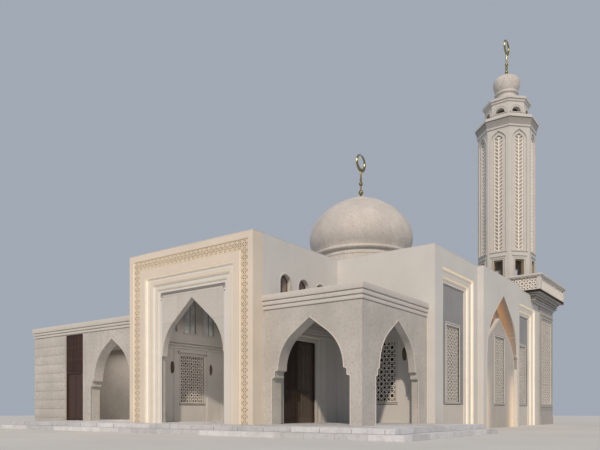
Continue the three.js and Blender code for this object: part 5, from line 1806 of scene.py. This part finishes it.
def make_stage(lighting):
    """Pale floor, soft sky and low sun, and a level camera at the photograph's angle."""
    scene = bpy.context.scene
    lens = bpy.data.cameras.new("camera")
    lens.lens = CAMERA.lens
    lens.sensor_width = CAMERA.sensor
    lens.shift_y = CAMERA.shift
    scene.camera = placed("camera", lens, SITE + Vector(CAMERA.spot), (radians(90), 0, radians(CAMERA.turn)))
    sun = bpy.data.lights.new("sun", "SUN")
    sun.energy = lighting.sun_power
    sun.color = lighting.sun_colour[:]
    sun.angle = lighting.sun_softness
    placed("sun", sun, turn=(radians(90) - lighting.sun_height, 0, lighting.sun_turn))
    for name, spot, size, share in ROOM_LIGHTS:
        soft = bpy.data.lights.new(name, "AREA")
        soft.shape = "RECTANGLE"
        soft.size, soft.size_y = size
        soft.energy = lighting.room_power * share
        soft.color = lighting.room_colour[:]
        placed(name, soft, SITE + Vector(spot))
    world = bpy.data.worlds.new("sky")
    world.use_nodes = True
    world.node_tree.nodes["Background"].inputs["Color"].default_value = (*lighting.sky_colour, 1)
    world.node_tree.nodes["Background"].inputs["Strength"].default_value = lighting.sky_power
    scene.world = world
    scene.view_settings.view_transform = "Standard"
    half = FLOOR_HALF
    corners = [(u, v, 0) for u, v in rectangle(-half, half, -half, half)]
    mesh = bpy.data.meshes.new("floor")
    mesh.from_pydata(corners, [], [(0, 1, 2, 3)])
    floor = placed("floor", mesh)
    ground = Finish("floor")
    cloudy = ground.noise(0.2, 3)
    tone = ground.ramp(cloudy, (0.3, (0.6, 0.59, 0.57)), (0.7, (0.66, 0.65, 0.63)))
    ground.finish(tone, ground.spread(cloudy, 0.3, 0.7, 0.85, 0.95))
    mesh.materials.append(ground.material)


def colour(name, description, default):
    return bpy.props.FloatVectorProperty(
        name=name, description=description, default=default, subtype="COLOR", size=3, min=0, max=1,
    )


def length(name, description, default):
    return bpy.props.FloatProperty(
        name=name, description=description, default=default, min=0.001, unit="LENGTH",
    )


def amount(name, description, default):
    return bpy.props.FloatProperty(
        name=name, description=description, default=default, min=0, soft_max=10, subtype="FACTOR",
    )


def angle(name, description, degrees):
    return bpy.props.FloatProperty(
        name=name, description=description, default=radians(degrees), subtype="ANGLE",
    )


class MosqueColours(bpy.types.PropertyGroup):
    """Colours of the finishes"""
    plaster: colour("Plaster", "Colour of the plain walls", (0.665, 0.655, 0.635))
    portal_plaster: colour("Portal plaster", "Colour of the portal's front", (0.74, 0.66, 0.565))
    bay: colour("Bay plaster", "Colour of the panels in the framed bays", (0.31, 0.315, 0.33))
    arched_bay: colour("Arched bay plaster", "Colour of the panel in the arched bay", (0.5, 0.475, 0.44))
    carving: colour("Carving", "Colour of the carved band", (0.84, 0.74, 0.6))
    portal_stone: colour("Portal stone", "Colour of the stone round its arch", (0.61, 0.585, 0.55))
    stone: colour("Stone", "Colour of the porch and the wing", (0.56, 0.535, 0.5))
    minaret: colour("Minaret stone", "Colour of the minaret", (0.61, 0.59, 0.56))
    dome: colour("Dome stone", "Colour of the dome", (0.64, 0.6, 0.56))
    screen: colour("Screen stone", "Colour of the pierced screens", (0.8, 0.76, 0.71))
    marble: colour("Marble", "Colour of the terrace and the floors", (0.66, 0.665, 0.69))
    timber: colour("Timber", "Colour of the doors and slats", (0.052, 0.026, 0.018))
    # The back leaf's lighter timber stands for painted sunlight.
    sunlit_painted_timber: colour("Sunlit painted timber", "Colour of the door's back leaf", (0.095, 0.075, 0.058))
    brass: colour("Brass", "Colour of the finials and lamps", (0.42, 0.34, 0.15))
    glass: colour("Glass", "Colour of the panes", (0.016, 0.017, 0.019))
    # Pale pane colour: painted daylight from behind the panes.
    painted_daylight_glass: colour("Painted daylight glass", "Colour of the vestibule's upper panes", (0.45, 0.47, 0.5))
    brown_glass: colour("Brown glass", "Colour of the portal's right upper panes", (0.2, 0.155, 0.135))
    roofing: colour("Roofing", "Colour of the flat roofs", (0.5, 0.48, 0.45))
    strip: colour("Strip light", "Colour of the light hidden in the stepped frames", (1, 0.76, 0.46))
    jamb: colour("Jamb light", "Colour of the light beside the arched bay's jambs", (1, 0.66, 0.36))
    amber: colour("Amber light", "Colour of the light in the pointed coves", (1, 0.45, 0.14))


class MosqueScreens(bpy.types.PropertyGroup):
    """Sizes of the pierced screens"""
    period: length("Star spacing", "Distance between two stars of a window's screen", 0.395)
    bar: length("Bar width", "Width of a screen's bars", 0.025)
    depth: length("Depth", "Thickness of a window's screen", 0.008)
    rail_period: length("Rail star spacing", "Distance between two stars of a balcony panel", 0.46)
    rail_bar: length("Rail bar width", "Width of the bars of a balcony panel", 0.04)
    shaft_period: length("Shaft leaf spacing", "Height of a pair of leaves in a shaft panel", 0.235)
    shaft_bar: length("Shaft bar width", "Width of the bars of a shaft panel", 0.06)


class MosquePaving(bpy.types.PropertyGroup):
    """Sizes of the marble paving"""
    slab_length: length("Slab length", "Length of a floor slab", 0.9)
    slab_width: length("Slab width", "Width of a floor slab", 0.6)
    block_length: length("Block length", "Length of a step block", 1.2)
    joint: length("Joint", "Width of the joint between two slabs", 0.01)


class MosqueCarving(bpy.types.PropertyGroup):
    """Sizes of the carved band round the portal"""
    columns: bpy.props.IntProperty(
        name="Columns", description="Spaces between stars across the top", default=25, min=1,
    )
    strap: length("Strap", "Width of the stars' straps", 0.0175)
    step_lights: bpy.props.FloatVectorProperty(
        name="Step lights", description="Share of the light on each step, the outer one first", size=3, min=0,
        default=(1, 0.72, 0.6),
    )


class MosqueLighting(bpy.types.PropertyGroup):
    """Light strips of the building, and the sun and sky of the stage"""
    strip_power: amount("Strip power", "Strength of the light in the stepped frames", 0.42)
    amber_power: amount("Amber power", "Strength of the light in the pointed coves", 0.42)
    lamp_power: amount("Lamp power", "Strength of the wall lamps", 0.03)
    sun_power: amount("Sun power", "Strength of the sun", 2.25)
    sun_colour: colour("Sun colour", "Colour of the sun", (1, 0.84, 0.67))
    sun_softness: angle("Sun softness", "Apparent size of the sun", 2)
    sun_height: angle("Sun height", "Angle of the sun above the ground", 36)
    sun_turn: angle("Sun turn", "Turn of the sun about the upright axis", 31)
    sky_colour: colour("Sky colour", "Colour of the soft light from all round", (0.78, 0.87, 1))
    sky_power: amount("Sky power", "Strength of the soft light from all round", 0.46)
    room_colour: colour("Room colour", "Colour of the soft light in the rooms", (1, 0.9, 0.8))
    room_power: amount("Room power", "Watts of the soft light in the rooms", 58)


GROUPS = {
    "mosque_colours": MosqueColours, "mosque_screens": MosqueScreens, "mosque_paving": MosquePaving,
    "mosque_carving": MosqueCarving, "mosque_lighting": MosqueLighting,
}


class MOSQUE_OT_stage(bpy.types.Operator):
    """Sets the floor, the lights and the camera"""
    bl_idname = "mosque.stage"
    bl_label = "Stage"

    def execute(self, context):
        make_stage(context.scene.mosque_lighting)
        return {"FINISHED"}


class MOSQUE_OT_finishes(bpy.types.Operator):
    """Makes the finishes and gives them to the solids that stay"""
    bl_idname = "mosque.finishes"
    bl_label = "Finishes"

    def execute(self, context):
        make_finishes(context.scene.mosque_colours, context.scene.mosque_lighting)
        dress_kept_nodes()
        return {"FINISHED"}


class MOSQUE_OT_terrace(bpy.types.Operator):
    """Lays the marble slabs and step blocks"""
    bl_idname = "mosque.terrace"
    bl_label = "Terrace"

    def execute(self, context):
        make_terrace(context.scene.mosque_paving)
        return {"FINISHED"}


class MOSQUE_OT_portal(bpy.types.Operator):
    """Adds the carved band, the lit steps and the painted shadow line of the portal"""
    bl_idname = "mosque.portal"
    bl_label = "Portal"

    def execute(self, context):
        make_portal(context.scene.mosque_carving)
        return {"FINISHED"}


class MOSQUE_OT_vestibule(bpy.types.Operator):
    """Adds the vestibule's windows and mouldings"""
    bl_idname = "mosque.vestibule"
    bl_label = "Vestibule"

    def execute(self, context):
        make_vestibule(context.scene.mosque_screens)
        return {"FINISHED"}


class MOSQUE_OT_double_door(bpy.types.Operator):
    """Builds the two boarded leaves and the moulded doorway"""
    bl_idname = "mosque.double_door"
    bl_label = "Double Door"

    def execute(self, context):
        make_double_door()
        return {"FINISHED"}


class MOSQUE_OT_porch(bpy.types.Operator):
    """Adds the porch's cornice and arch trims"""
    bl_idname = "mosque.porch"
    bl_label = "Corner Porch"

    def execute(self, context):
        make_porch()
        return {"FINISHED"}


class MOSQUE_OT_wing(bpy.types.Operator):
    """Adds the wing's cornice, arch trims and grooved courses"""
    bl_idname = "mosque.wing"
    bl_label = "Left Wing"

    def execute(self, context):
        make_wing()
        return {"FINISHED"}


class MOSQUE_OT_timber_screen(bpy.types.Operator):
    """Builds the slats and the boarded door beside the wing's arch"""
    bl_idname = "mosque.timber_screen"
    bl_label = "Timber Screen"

    def execute(self, context):
        make_timber_screen()
        return {"FINISHED"}


class MOSQUE_OT_hall_bays(bpy.types.Operator):
    """Adds the lit frames and pointed coves of the hall's bays"""
    bl_idname = "mosque.hall_bays"
    bl_label = "Hall Bays"

    def execute(self, context):
        make_bays()
        return {"FINISHED"}


class MOSQUE_OT_hall_windows(bpy.types.Operator):
    """Builds the hall's screened windows"""
    bl_idname = "mosque.hall_windows"
    bl_label = "Hall Windows"

    def execute(self, context):
        make_hall_windows(context.scene.mosque_screens)
        return {"FINISHED"}


class MOSQUE_OT_copings(bpy.types.Operator):
    """Lays the copings on the parapets"""
    bl_idname = "mosque.copings"
    bl_label = "Copings"

    def execute(self, context):
        make_copings()
        return {"FINISHED"}


class MOSQUE_OT_dome(bpy.types.Operator):
    """Builds the dome with its drum and rim"""
    bl_idname = "mosque.dome"
    bl_label = "Dome"

    def execute(self, context):
        make_dome()
        return {"FINISHED"}


class MOSQUE_OT_finials(bpy.types.Operator):
    """Builds the brass finials of the dome and the minaret"""
    bl_idname = "mosque.finials"
    bl_label = "Finials"

    def execute(self, context):
        make_finial("dome_finial_brass", "dome_finial", DOME_FINIAL, DOME.x, DOME.y)
        make_finial("minaret_finial_brass", "minaret_finial", MINARET_FINIAL, MINARET.x, MINARET.y)
        return {"FINISHED"}


class MOSQUE_OT_minaret_base(bpy.types.Operator):
    """Adds the screened panels and bands of the minaret's square base"""
    bl_idname = "mosque.minaret_base"
    bl_label = "Minaret Base"

    def execute(self, context):
        make_minaret_base(context.scene.mosque_screens)
        return {"FINISHED"}


class MOSQUE_OT_balcony(bpy.types.Operator):
    """Builds the balcony's deck, posts, rails and pierced panels"""
    bl_idname = "mosque.balcony"
    bl_label = "Balcony"

    def execute(self, context):
        make_balcony(context.scene.mosque_screens)
        return {"FINISHED"}


class MOSQUE_OT_shaft(bpy.types.Operator):
    """Adds the shaft's pierced panels, doorways and crown"""
    bl_idname = "mosque.shaft"
    bl_label = "Minaret Shaft"

    def execute(self, context):
        make_shaft(context.scene.mosque_screens)
        return {"FINISHED"}


class MOSQUE_OT_lantern(bpy.types.Operator):
    """Adds the lantern's hoods and bands and builds its cap"""
    bl_idname = "mosque.lantern"
    bl_label = "Lantern and Cap"

    def execute(self, context):
        make_lantern()
        make_cap()
        return {"FINISHED"}


class MOSQUE_OT_lamps(bpy.types.Operator):
    """Builds the four wall lamps"""
    bl_idname = "mosque.lamps"
    bl_label = "Wall Lamps"

    def execute(self, context):
        make_lamps()
        return {"FINISHED"}


OPERATORS = (
    MOSQUE_OT_stage, MOSQUE_OT_finishes, MOSQUE_OT_terrace, MOSQUE_OT_portal, MOSQUE_OT_vestibule,
    MOSQUE_OT_double_door, MOSQUE_OT_porch, MOSQUE_OT_wing, MOSQUE_OT_timber_screen, MOSQUE_OT_hall_bays,
    MOSQUE_OT_hall_windows, MOSQUE_OT_copings, MOSQUE_OT_dome, MOSQUE_OT_finials, MOSQUE_OT_minaret_base,
    MOSQUE_OT_balcony, MOSQUE_OT_shaft, MOSQUE_OT_lantern, MOSQUE_OT_lamps,
)


class MOSQUE_PT_sidebar(bpy.types.Panel):
    """Lists the steps that dress the building"""
    bl_idname = "MOSQUE_PT_sidebar"
    bl_label = "Mosque Building"
    bl_space_type = "VIEW_3D"
    bl_region_type = "UI"
    bl_category = "Mosque"

    def draw(self, context):
        for group in GROUPS:
            box = self.layout.box()
            look = getattr(context.scene, group)
            for name in look.__annotations__:
                box.prop(look, name)
        for operator in OPERATORS:
            self.layout.operator(operator.bl_idname)


def register():
    for kind in (*GROUPS.values(), *OPERATORS, MOSQUE_PT_sidebar):
        bpy.utils.register_class(kind)
    for name, group in GROUPS.items():
        setattr(bpy.types.Scene, name, bpy.props.PointerProperty(type=group))


def unregister():
    for name in GROUPS:
        delattr(bpy.types.Scene, name)
    for kind in (MOSQUE_PT_sidebar, *reversed(OPERATORS), *reversed(tuple(GROUPS.values()))):
        bpy.utils.unregister_class(kind)


def main():
    register()
    for operator in OPERATORS:
        getattr(bpy.ops.mosque, operator.bl_idname.split(".")[1])()


if __name__ == "__main__":
    main()
